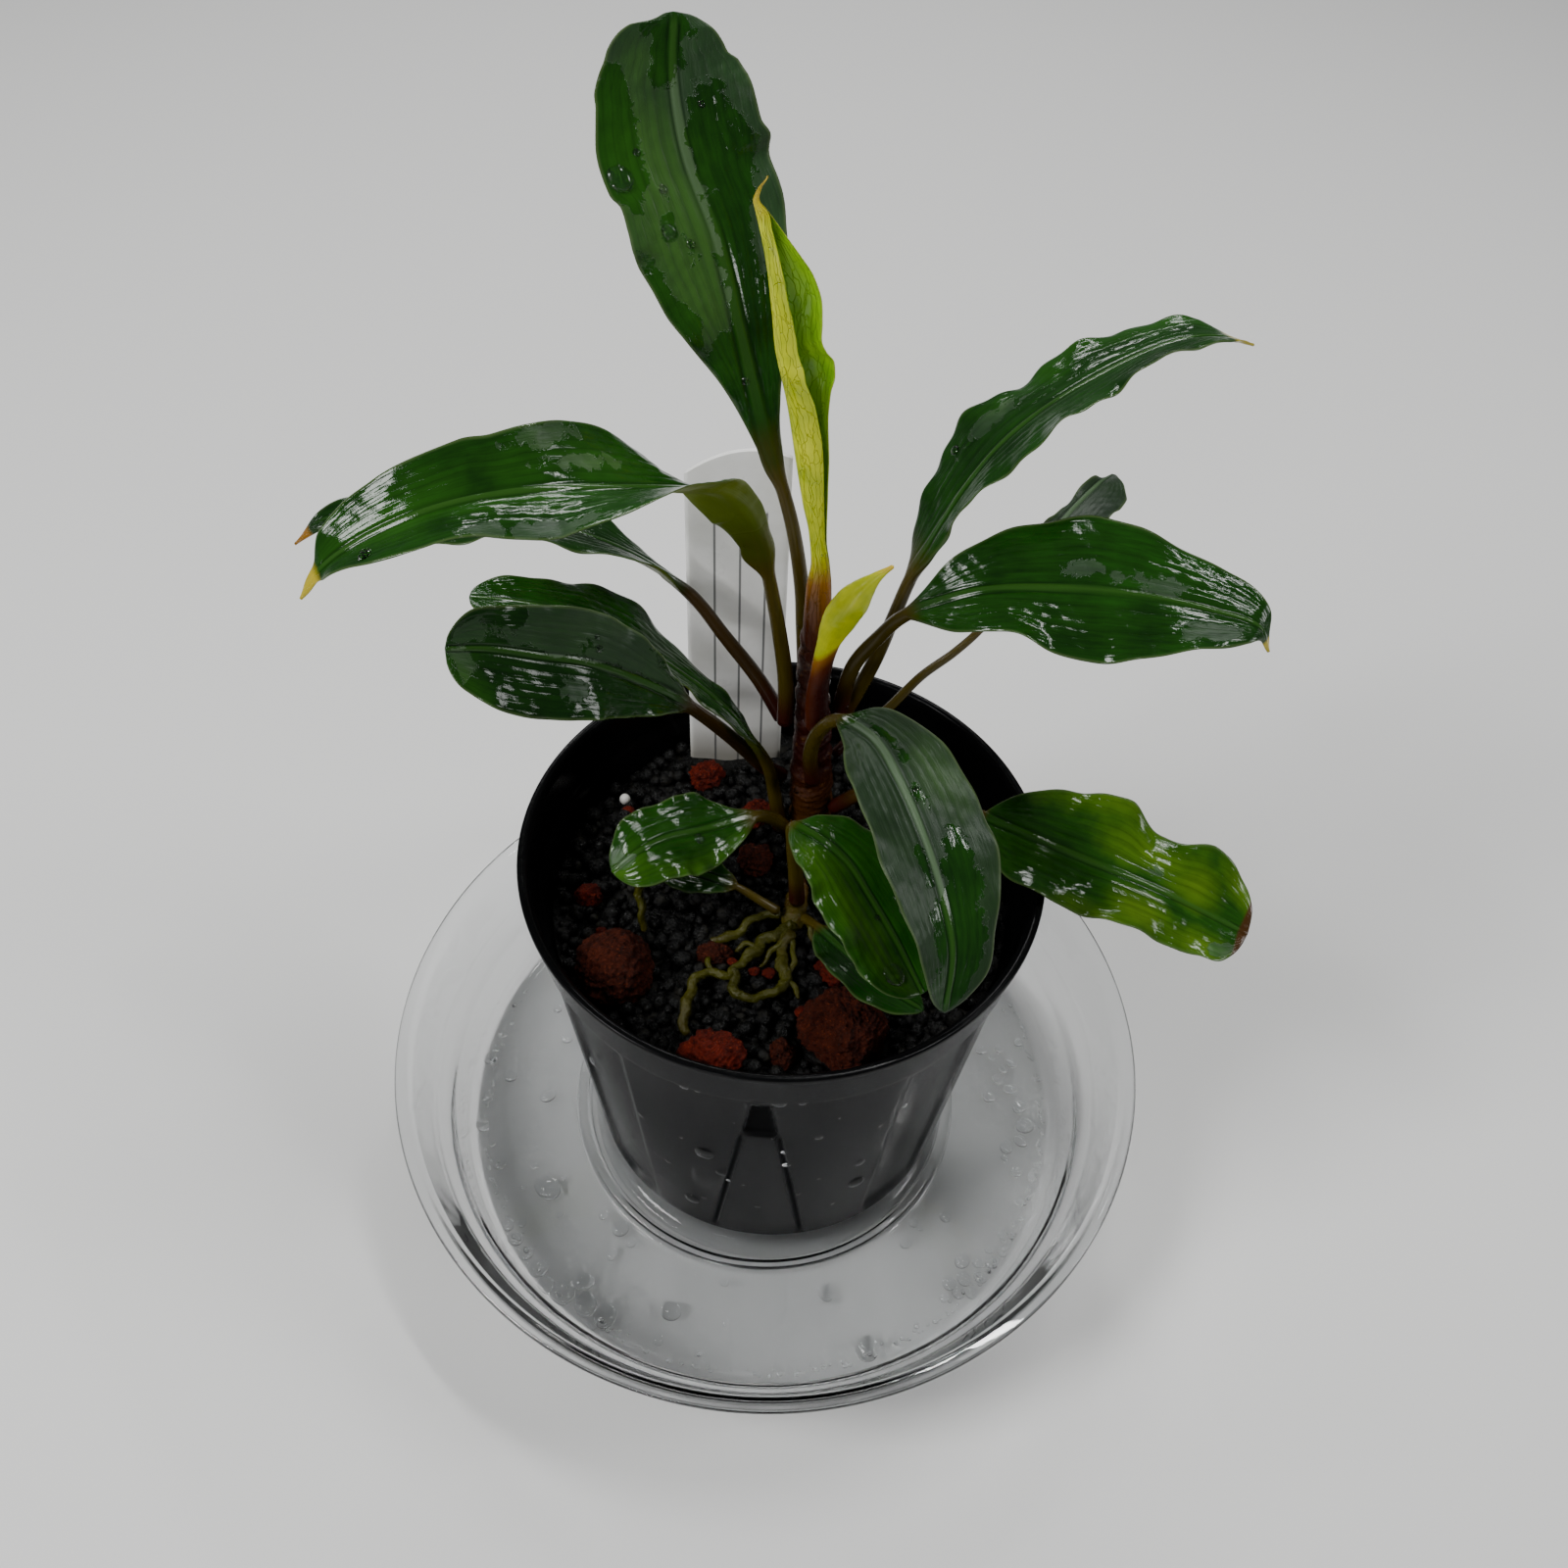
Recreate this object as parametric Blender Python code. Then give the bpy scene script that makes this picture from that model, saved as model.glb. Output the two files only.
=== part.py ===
"""A bucephalandra grown in a small black nursery pot that stands in a clear round dish.

Sizes are in millimetres here and become metres when a mesh is made. The origin is the centre of
the dish's underside, +Z is up, and -Y is the side that the plant leans its lowest leaves over.
"""

import math

import bmesh
import bpy
import numpy as np

# Driving dimensions, in millimetres
MM = 0.001
GAP = 0.3                  # clearance where two pieces touch
DISH_RADIUS = 62.0
DISH_HEIGHT = 22.5
DISH_FLOOR = 1.5           # height of the dish's inner floor
DISH_CORNER_RADIUS = 52.0  # where the inner floor meets the wall
DISH_RING_RADIUS = 32.4    # raised ring in the floor that the pot stands inside
POT_X = 0.9                # the pot stands a little off the dish's centre
POT_RIM_RADIUS = 37.5
POT_HEIGHT = 71.2
POT_WALL = 1.1
POT_BASE = DISH_FLOOR + GAP
POT_RIM = POT_BASE + POT_HEIGHT
COLLAR_HEIGHT = 11.5
BASE_RADIUS = 27.0
CHAMFER_RADIUS = 30.0
CHAMFER_HEIGHT = 6.7
WALL_TOP_RADIUS = 35.4
DRAIN_SLOTS = 8
SOIL_TOP = 60.5
SOIL_BUMP = 0.5            # height of the soil's slow bumps
LABEL_X = -7.4
LABEL_Y = 27.6
LABEL_HALF_WIDTH = 7.2
LABEL_FOOT = 34.0
LABEL_TOP = 119.4
LABEL_TURN = math.radians(4)
STEM_BASE = (5.0, 14.0, 55.0)
STEM_TOP = (4.2, 14.8, 88.0)
STEM_RADIUS = 2.6
PETIOLE_RADIUS = 0.9
MIDRIB_HALF = 0.55         # half thickness of a blade along its midrib
BLADE_HALF = 0.28          # half thickness of a blade beside the midrib
TURNED_SIDES = 48

# Colours as linear red, green, blue
LEAF_GREEN = (0.030, 0.085, 0.022)
YOUNG_GREEN = (0.42, 0.50, 0.04)
STEM_RED = (0.13, 0.03, 0.02)
ROOT_OLIVE = (0.30, 0.27, 0.07)
STONE_RED = (0.22, 0.06, 0.025)
SOIL_BLACK = (0.02, 0.02, 0.017)
POT_BLACK = (0.012, 0.012, 0.012)
CLEAR = (0.85, 0.87, 0.88)
LABEL_WHITE = (0.80, 0.80, 0.78)


# Leaves. route: the petiole and midrib from its foot on the rhizome to the tip. blade: which
# route point the blade starts at. width: half of the widest place. full: how blunt the blade's
# two ends are. skew: how much wider its right half is than its left, as a share. head: the flat
# direction it grows in. fold: degrees that each half lifts.
# roll: degrees of twist about the midrib, evenly spaced from blade start to tip. wave: height,
# number and phase of the undulations along the margins.
LEAVES = {
    "leaf_tall": dict(
        route=[(3, 19.6, 87.7), (2.3, 20, 97), (1.8, 20.2, 103.6), (0.4, 20.4, 112.8),
               (-1, 21, 118.3), (-3.6, 22.5, 125.7), (-6.6, 26, 136), (-10.3, 30, 148.5),
               (-13.6, 33, 155.5), (-15.4, 36, 163.4), (-15.3, 38, 169.6)],
        blade=4, width=9.9, skew=-0.05, full=(1.3, 0.45), head=(-0.2, 1.0), fold=8,
        roll=(0, 0, 0), wave=(0.6, 3.5, 0.4)),
    "leaf_right_upper": dict(
        route=[(8, 16.6, 81), (12.5, 17.2, 94), (14.4, 18, 101.3), (16, 19, 107), (18, 20, 112),
               (21.5, 22, 119.6), (27, 25, 126.6), (36, 29, 132.2), (46, 32, 136.4), (51.5, 33, 136.8),
               (56.5, 34, 135.3)],
        blade=3, width=8.8, skew=-0.03, full=(0.8, 0.7), head=(1, 0.4), fold=8,
        roll=(0, 20, 16), wave=(0.9, 4.0, 0.0)),
    "leaf_right": dict(
        route=[(7.9, 13.4, 87), (9.4, 13.8, 96), (12.4, 14, 101.3), (15.6, 13, 106.5),
               (24, 12, 112), (34, 11, 114), (43, 9, 115.3), (52, 6, 116), (57.5, 4, 115.4),
               (59.3, 3, 112.4)],
        blade=3, width=9.2, skew=0.0, full=(0.85, 0.75), head=(1, -0.1), fold=6,
        roll=(-20, -26, -12), wave=(0.8, 2.5, 0.9)),
    "leaf_right_back": dict(
        route=[(8, 17.2, 74), (11.8, 18.5, 78.5), (15.3, 20.5, 80.6), (20.2, 25, 83.4),
               (25.3, 29, 85), (29.5, 33, 86.8), (34, 39.5, 89.7), (38.5, 46, 92),
               (43.4, 53, 93.6), (48, 59.5, 93.6), (51.4, 65, 91.8)],
        blade=5, width=5.2, skew=0.1, full=(0.9, 0.5), head=(0.6, 1), fold=10,
        roll=(-6, -8, 10), wave=(1.2, 3.0, 0.2)),
    "leaf_left_arching": dict(
        route=[(0.4, 13, 85), (0.2, 13, 93), (-1, 12.6, 103), (-2.5, 12, 112.5),
               (-3.5, 10.5, 119.2), (-5.3, 8, 126), (-7.8, 4.5, 131.3), (-11, 0.5, 134.8),
               (-17.4, -4, 138), (-27, -8, 140.2), (-36.6, -11, 139.5), (-44.8, -13, 136),
               (-48.8, -14, 132.9), (-51, -15, 130)],
        blade=3, width=7.0, skew=0.0, full=(1.1, 0.85), head=(-1, -0.8), fold=20,
        roll=(-45, -80, -14, 22, 10, 0), wave=(0.8, 4.5, 2.0)),
    "leaf_left_behind": dict(
        route=[(-0.2, 17.2, 81.5), (-3.6, 19, 87), (-8.6, 21, 93.2), (-13.5, 23, 99),
               (-21, 24, 104.8), (-32.7, 25, 108.7), (-44.5, 25, 109.6), (-55, 24, 109.8),
               (-62, 22, 110), (-66, 20, 107.3)],
        blade=3, width=8.6, skew=0.0, full=(0.9, 1.0), head=(-1, 0.2), fold=6,
        roll=(-36, -12, 14), wave=(0.8, 3.0, 1.0)),
    "leaf_left_mid": dict(
        route=[(0.4, 11.8, 62.5), (-0.6, 12, 69.7), (-1.8, 11.8, 76.5), (-4.5, 11.1, 83.4),
               (-8, 11.3, 89), (-13.5, 13.1, 92.9), (-21.4, 13.5, 99.2), (-28.1, 12.5, 104),
               (-35.4, 11.5, 106.7), (-41, 10.7, 107.8)],
        blade=2, width=6.3, skew=0.05, full=(1.15, 0.45), head=(-1, -0.1), fold=4,
        roll=(-5, -10, -3), wave=(0.6, 3.0, 1.5)),
    "leaf_left_low": dict(
        route=[(0.3, 14.9, 71), (-2.6, 14, 74.2), (-4.7, 12.5, 78.6), (-7.4, 10.2, 84.5),
               (-12.2, 4.6, 95.8), (-16.2, 1.8, 102), (-23.9, -2.2, 109.9), (-29.2, -4.2, 112.7),
               (-34.5, -6.2, 115.4), (-39.1, -8.2, 117)],
        blade=4, width=6.4, skew=-0.11, full=(0.84, 0.45), head=(-1, -0.3), fold=9,
        roll=(36, 48, 56), wave=(0.5, 3.0, 0.6)),
    "leaf_left_small": dict(
        route=[(1.8, 9.6, 64.2), (-0.6, 6.8, 70.6), (-3.2, 4, 74.4), (-10, 0, 76),
               (-15.3, -3, 77.3), (-19, -6, 77.6), (-22.3, -8, 75.4)],
        blade=2, width=6.2, skew=-0.1, full=(0.83, 0.57), head=(-1, -0.6), fold=7,
        roll=(20, 18, 10), wave=(0.4, 2.5, 0.2)),
    "leaf_small_under": dict(
        route=[(0.6, -5.8, 65.2), (-2.2, -5.4, 67.2), (-5.3, -4.4, 68.6), (-10.5, -3.4, 69.8),
               (-17, -1, 68.4)],
        blade=2, width=3.4, skew=0.0, full=(0.8, 0.65), head=(-1, 0.1), fold=8,
        roll=(12, 10, 8), wave=(0.3, 2.0, 0.0)),
    "leaf_front": dict(
        route=[(4.8, 10.4, 75.5), (4.2, 9.6, 82), (5.2, 7.6, 89.2), (7.8, 5, 94.3), (12, 1, 95.4),
               (15, -5, 95.3), (18.8, -14, 92.8), (21, -20, 89.8), (22.6, -25, 85.4),
               (22.2, -30, 79)],
        blade=3, width=8.2, skew=0.0, full=(0.7, 0.65), head=(0.4, -1), fold=12,
        roll=(-12, 8, 8), wave=(0.5, 2.5, 0.0)),
    "leaf_front_under": dict(
        route=[(3.4, -3.6, 65), (2.9, -4.6, 73), (2.3, -5.6, 81), (2.4, -6.5, 85.4),
               (6, -9, 86.2), (9.5, -12, 85.4), (12.6, -16, 83.4), (15.8, -20, 80.6),
               (19.8, -26, 76.8)],
        blade=3, width=7.8, skew=0.08, full=(0.62, 0.42), head=(0.8, -0.7), fold=8,
        roll=(0, 2, -2), wave=(0.5, 3.0, 0.8)),
    "leaf_front_low": dict(
        route=[(4.6, -6.8, 65), (6.4, -10.8, 68.8), (10.6, -17.4, 71.8), (15.4, -22, 71.8),
               (20.6, -24.6, 70.5)],
        blade=1, width=4.6, skew=0.0, full=(0.8, 0.65), head=(0.8, -0.7), fold=8,
        roll=(6, 8, 8), wave=(0.3, 2.0, 0.5)),
    "leaf_right_low": dict(
        route=[(8.2, 12.2, 67.4), (13.6, 11.2, 73), (22, 8.5, 75.4), (29.5, 5, 75.6),
               (37, 1, 76), (42.6, -1.5, 75.6), (49.2, -4, 75), (55.8, -6.5, 74), (66, -10, 71)],
        blade=3, width=9.0, skew=0.0, full=(0.6, 0.5), head=(1, -0.35), fold=10,
        roll=(-26, -16, -22), wave=(1.2, 3.0, 1.2)),
}

# Lava stones: centre and the three half sizes
STONES = {
    "lava_stone_big_left": ((-22.0, -15.6, 63.4), (5.6, 5.6, 5.2)),
    "lava_stone_big_right": ((10.4, -23.6, 63.4), (6.0, 6.3, 5.8)),
    "lava_stone_front": ((-7.0, -28.2, 62.2), (4.0, 3.4, 3.2)),
    "lava_stone_small_front": ((2.2, -27.2, 61.8), (1.8, 2.0, 1.8)),
    "lava_stone_middle": ((-8.0, -11.6, 61.6), (2.5, 1.8, 1.8)),
    "lava_stone_under_leaf": ((9.4, -13.2, 61.8), (2.8, 2.4, 2.2)),
    "lava_stone_left": ((-27.0, -2.4, 61.8), (2.0, 1.9, 1.8)),
    "lava_stone_crown": ((-3.2, 6.0, 61.6), (2.6, 2.8, 2.2)),
    "lava_stone_back": ((-3.4, 14.4, 62.0), (2.5, 2.4, 2.5)),
    "lava_stone_label": ((-11.6, 22.0, 62.0), (2.6, 2.4, 2.5)),
}

# Roots that lie on the soil: route and radius
ROOTS = {
    "root_long": ([(1.0, -8.6, 62.9), (-2.2, -10.6, 62.7), (-4.6, -13.6, 62.6),
                   (-7.2, -16.6, 63.4), (-10.4, -18.0, 64.2), (-11.8, -21.4, 63.6),
                   (-11.9, -24.4, 62.6)], 1.0),
    "root_loop": ([(-4.2, -17.0, 62.5), (-4.6, -18.8, 62.6), (-2.2, -18.9, 62.6),
                   (1.0, -17.6, 62.7), (2.2, -14.0, 62.7), (2.2, -10.9, 62.9)], 0.9),
    "root_short": ([(-1.2, -6.8, 63.2), (-3.8, -7.2, 62.7), (-7.0, -8.0, 62.3),
                    (-9.6, -8.9, 61.9)], 0.9),
    "root_left": ([(-19.4, -3.4, 70.4), (-19.2, -5.2, 66.6), (-18.4, -8.0, 62.2)], 0.8),
}


def clear_scene():
    """Remove every object that the scene starts with."""
    for obj in list(bpy.data.objects):
        bpy.data.objects.remove(obj, do_unlink=True)


def plain_material(name, colour, roughness, transmission=0.0):
    """A Principled material of one colour; transmission makes it see-through."""
    material = bpy.data.materials.new(name)
    material.use_nodes = True
    shader = material.node_tree.nodes["Principled BSDF"]
    shader.inputs["Base Color"].default_value = (*colour, 1.0)
    shader.inputs["Roughness"].default_value = roughness
    shader.inputs["Metallic"].default_value = 0.0
    shader.inputs["Transmission Weight"].default_value = transmission
    return material


def add_solid(name, points, faces, colour, roughness, transmission=0.0):
    """Make one closed, smooth-shaded object from points in millimetres."""
    mesh = bpy.data.meshes.new(name)
    mesh.from_pydata((np.asarray(points) * MM).tolist(), [], faces)
    mesh.shade_smooth()
    mesh.set_sharp_from_angle(angle=math.radians(40))
    mesh.materials.append(plain_material(name, colour, roughness, transmission))
    obj = bpy.data.objects.new(name, mesh)
    bpy.context.collection.objects.link(obj)
    return obj


def cut(obj, cutters):
    """Take each cutter out of obj with a Boolean that stays on it."""
    for cutter in cutters:
        cutter.hide_render = True
        cutter.display_type = "WIRE"
        boolean = obj.modifiers.new(cutter.name, "BOOLEAN")
        boolean.operation = "DIFFERENCE"
        boolean.solver = "EXACT"
        boolean.object = cutter


def curve_through(knots, per_span=16):
    """A centripetal Catmull-Rom curve through the knots, and its length at each knot.

    Each span blends straight lines between four neighbouring knots, timed by the square root of
    their distances, so the curve keeps to the knots with no loops between them.
    """
    knots = np.asarray(knots, float)
    padded = np.vstack([2 * knots[0] - knots[1], knots, 2 * knots[-1] - knots[-2]])
    pieces = []
    for i in range(len(knots) - 1):
        p0, p1, p2, p3 = padded[i:i + 4]
        t1 = math.sqrt(np.linalg.norm(p1 - p0))
        t2 = t1 + math.sqrt(np.linalg.norm(p2 - p1))
        t3 = t2 + math.sqrt(np.linalg.norm(p3 - p2))
        t = np.linspace(t1, t2, per_span, endpoint=False)[:, None]
        a1 = (t1 - t) / t1 * p0 + t / t1 * p1
        a2 = (t2 - t) / (t2 - t1) * p1 + (t - t1) / (t2 - t1) * p2
        a3 = (t3 - t) / (t3 - t2) * p2 + (t - t2) / (t3 - t2) * p3
        b1 = (t2 - t) / t2 * a1 + t / t2 * a2
        b2 = (t3 - t) / (t3 - t1) * a2 + (t - t1) / (t3 - t1) * a3
        pieces.append((t2 - t) / (t2 - t1) * b1 + (t - t1) / (t2 - t1) * b2)
    curve = np.vstack(pieces + [knots[-1:]])
    steps = np.linalg.norm(np.diff(curve, axis=0), axis=1)
    length = np.concatenate([[0.0], np.cumsum(steps)])
    return curve, length, length[::per_span]


def points_at(curve, length, where):
    """The curve's points at the given lengths along it."""
    return np.stack([np.interp(where, length, curve[:, k]) for k in range(3)], axis=1)


def unit(vectors):
    """Each row scaled to length one."""
    return vectors / np.linalg.norm(vectors, axis=1, keepdims=True)


def frame_along(route, side_hint):
    """Side and upper side at each point; the side stays as near side_hint as it can."""
    along = unit(np.gradient(route, axis=0))
    side = unit(side_hint - (along @ side_hint)[:, None] * along)
    return side, np.cross(side, along)


def loft_faces(rings, around):
    """Quads between neighbouring rings, and a flat cap on each end."""
    faces = []
    for i in range(rings - 1):
        for j in range(around):
            k = (j + 1) % around
            a, b = i * around, (i + 1) * around
            faces.append((a + j, a + k, b + k, b + j))
    faces.append(tuple(range(around - 1, -1, -1)))
    faces.append(tuple(range((rings - 1) * around, rings * around)))
    return faces


def turned(name, profile, colour, roughness, centre_x=0.0, transmission=0.0):
    """Turn a profile of (radius, height) once round the Z axis.

    The profile runs from the axis along the underside, up the outside, and back down the inside
    to the axis, so that its first and last points close the solid as poles.
    """
    angles = np.linspace(0, 2 * np.pi, TURNED_SIDES, endpoint=False)
    inner = np.asarray(profile[1:-1], float)
    ring = np.stack([np.cos(angles), np.sin(angles)], axis=1)
    points = [np.column_stack([ring * radius, np.full(TURNED_SIDES, height)])
              for radius, height in inner]
    points = np.vstack(points + [[(0, 0, profile[0][1]), (0, 0, profile[-1][1])]])
    points[:, 0] += centre_x
    faces = loft_faces(len(inner), TURNED_SIDES)[:-2]
    first_pole, last_pole = len(points) - 2, len(points) - 1
    last = (len(inner) - 1) * TURNED_SIDES
    for j in range(TURNED_SIDES):
        k = (j + 1) % TURNED_SIDES
        faces.append((first_pole, k, j))
        faces.append((last_pole, last + j, last + k))
    return add_solid(name, points, faces, colour, roughness, transmission)


def make_dish():
    """The clear saucer: flat floor with a raised ring, and a wall that steps out half way up."""
    corner = DISH_CORNER_RADIUS
    rim = DISH_RADIUS
    ring = DISH_RING_RADIUS
    floor = DISH_FLOOR
    top = DISH_HEIGHT
    profile = [(0, 0), (corner - 1.5, 0), (corner + 1.1, 1.1), (corner + 3.2, 9.6),
               (corner + 5.0, 11.4), (rim - 1.9, top - 1.2), (rim, top - 0.9), (rim, top),
               (rim - 2.3, top), (corner + 4.0, 12.3), (corner + 2.0, 10.3), (corner + 0.2, 2.6),
               (corner - 0.9, floor), (ring + 1.0, floor), (ring + 0.4, floor + 1.1),
               (ring - 0.4, floor + 1.1), (ring - 1.0, floor), (0, floor)]
    turned("dish", profile, CLEAR, 0.05, transmission=1.0)


def pot_profile():
    """Underside, chamfer, tapered wall, stepped collar and rolled rim, then the inside."""
    base = POT_BASE
    collar = POT_RIM - COLLAR_HEIGHT
    wall = POT_WALL
    return [(0, base), (BASE_RADIUS, base), (CHAMFER_RADIUS, base + CHAMFER_HEIGHT),
            (WALL_TOP_RADIUS, collar - 0.6), (POT_RIM_RADIUS - 1.1, collar),
            (POT_RIM_RADIUS - 0.6, POT_RIM - 1.0), (POT_RIM_RADIUS, POT_RIM - 0.6),
            (POT_RIM_RADIUS - 0.1, POT_RIM), (POT_RIM_RADIUS - 0.9, POT_RIM),
            (POT_RIM_RADIUS - 1.6, POT_RIM - 1.0), (POT_RIM_RADIUS - 2.1, collar + 0.8),
            (WALL_TOP_RADIUS - wall, collar - 0.6),
            (CHAMFER_RADIUS - wall, base + CHAMFER_HEIGHT), (BASE_RADIUS - wall, base + 1.2),
            (0, base + 1.2)]


def box_cutter(name, centre, size, turn):
    """An upright block in millimetres, turned about Z, used as a cutter."""
    bm = bmesh.new()
    bmesh.ops.create_cube(bm, size=MM)
    bmesh.ops.scale(bm, vec=size, verts=bm.verts)
    mesh = bpy.data.meshes.new(name)
    bm.to_mesh(mesh)
    bm.free()
    obj = bpy.data.objects.new(name, mesh)
    obj.location = np.asarray(centre) * MM
    obj.rotation_euler[2] = turn
    bpy.context.collection.objects.link(obj)
    return obj


def make_pot():
    """The nursery pot, with drain slots through the bottom corner."""
    pot = turned("pot", pot_profile(), POT_BLACK, 0.35, centre_x=POT_X)
    cutters = []
    for i in range(DRAIN_SLOTS):
        angle = 2 * math.pi * (i + 0.5) / DRAIN_SLOTS - math.pi / 2
        radius = (BASE_RADIUS + CHAMFER_RADIUS) / 2 - 0.3
        centre = (POT_X + radius * math.cos(angle), radius * math.sin(angle), POT_BASE + 3.4)
        cutters.append(box_cutter(f"drain_slot_cutter_{i + 1}", centre, (5.0, 3.6, 2.6), angle))
    cut(pot, cutters)


def soil_height(x, y):
    """The soil's top: slow bumps of a few wave lengths, a millimetre in all."""
    bumps = np.sin(0.31 * x + 0.7) * np.cos(0.27 * y) + 0.7 * np.sin(0.53 * x - 0.41 * y + 1.9)
    return SOIL_TOP + SOIL_BUMP * bumps / 1.7


def make_soil(sunk):
    """The soil plug that fills the pot, with a socket for each piece that is stuck in it."""
    clear = GAP + 0.1
    collar = POT_RIM - COLLAR_HEIGHT
    base = POT_BASE
    low = CHAMFER_RADIUS - POT_WALL - clear
    slope = (WALL_TOP_RADIUS - CHAMFER_RADIUS) / (collar - 0.6 - base - CHAMFER_HEIGHT)
    edge = low + slope * (SOIL_TOP - base - CHAMFER_HEIGHT) - 0.2
    profile = [(0, base + 1.2 + clear), (BASE_RADIUS - POT_WALL - clear, base + 1.4 + clear),
               (low, base + CHAMFER_HEIGHT + 0.2), (edge, SOIL_TOP)]
    profile += [(edge * k / 5, SOIL_TOP) for k in range(4, 0, -1)] + [(0, SOIL_TOP)]
    soil = turned("soil", profile, SOIL_BLACK, 0.8, centre_x=POT_X)
    xyz = np.empty(len(soil.data.vertices) * 3)
    soil.data.vertices.foreach_get("co", xyz)
    xyz = xyz.reshape(-1, 3) / MM
    top = (xyz[:, 2] > SOIL_TOP - 1) & (np.hypot(xyz[:, 0] - POT_X, xyz[:, 1]) < edge - 1)
    xyz[top, 2] = soil_height(xyz[top, 0], xyz[top, 1])
    soil.data.vertices.foreach_set("co", (xyz * MM).ravel())
    cut(soil, sunk)


def lumpy_ball(centre, half, grow=0.0):
    """A ball of 80 or 320 triangles, stretched, with a few knobbly waves on it."""
    bm = bmesh.new()
    bmesh.ops.create_icosphere(bm, subdivisions=3 if max(half) > 5 else 2, radius=1.0)
    points = np.array([v.co for v in bm.verts])
    faces = [tuple(v.index for v in f.verts) for f in bm.faces]
    bm.free()
    phase = centre[0] + centre[1]
    knobs = (np.sin(3.1 * points[:, 0] + phase) * np.sin(2.7 * points[:, 1] + 1.3 * phase)
             + np.sin(4.3 * points[:, 2] + phase))
    points = points * (1 + 0.06 * knobs)[:, None]
    size = np.linalg.norm(points * half, axis=1, keepdims=True)
    return points * half * (1 + grow / size) + centre, faces


def make_stones():
    """Porous lava stones, each half sunk in the soil; returns the cutters of their sockets."""
    cutters = []
    for name, (centre, half) in STONES.items():
        points, faces = lumpy_ball(centre, half)
        add_solid(name, points, faces, STONE_RED, 0.85)
        points, faces = lumpy_ball(centre, half, grow=GAP + 0.1)
        cutters.append(add_solid(f"{name}_socket_cutter", points, faces, SOIL_BLACK, 0.8))
    return cutters


def tube(name, route, radii, colour, roughness, sides=8, step=1.8, knob=0.0, grow=0.0):
    """A closed tube along a route, its radius read from radii spaced evenly along it.

    It has a ring every step millimetres. knob adds waves to the radius, as on a rhizome with
    leaf scars. The rings' side is kept level on a tube that lies, and aimed back on one that
    stands.
    """
    curve, length, _ = curve_through(route)
    rings = max(6, int(length[-1] / step))
    share = np.linspace(0, 1, rings)
    centre = points_at(curve, length, share * length[-1])
    stands = abs(centre[-1, 2] - centre[0, 2]) > 12
    side, up = frame_along(centre, np.array([0.6, 0.8, 0.1] if stands else [0.1, 0.2, 1.0]))
    radius = np.interp(share, np.linspace(0, 1, len(radii)), radii) + grow
    turn = np.linspace(0, 2 * np.pi, sides, endpoint=False)
    wave = 1 + knob * np.sin(share[:, None] * rings * 1.9 + 2 * turn[None, :])
    reach = (radius[:, None] * wave)[:, :, None]
    ring = np.cos(turn)[None, :, None] * side[:, None] + np.sin(turn)[None, :, None] * up[:, None]
    points = (centre[:, None] + reach * ring).reshape(-1, 3)
    faces = [tuple(reversed(face)) for face in loft_faces(rings, sides)]
    return add_solid(name, points, faces, colour, roughness)


def make_rhizomes():
    """The upright main stem, stuck in the soil, and the short side shoot that lies on it."""
    route = [STEM_BASE, (5.0, 14.0, 62.0), (4.4, 14.4, 74.0), STEM_TOP]
    radii = [STEM_RADIUS, STEM_RADIUS + 0.3, STEM_RADIUS - 0.2, STEM_RADIUS - 0.7]
    tube("rhizome", route, radii, STEM_RED, 0.45, knob=0.05)
    deeper = (route[0][0], route[0][1], route[0][2] - 0.8)
    socket = tube("rhizome_socket_cutter", [deeper, route[1]], radii[:2], SOIL_BLACK, 0.8,
                  grow=0.7)
    side = [(3.8, 1.6, 62.5), (3.2, -2.0, 62.6), (2.4, -6.8, 62.6)]
    tube("side_shoot_rhizome", side, [1.0, 1.5, 1.3], ROOT_OLIVE, 0.5, knob=0.06)
    return [socket]


def make_roots():
    """Roots that wander over the soil from the side shoot, each a tapering tube."""
    for name, (route, radius) in ROOTS.items():
        tube(name, route, [radius, radius, radius * 0.8], ROOT_OLIVE, 0.5, sides=6)


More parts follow.
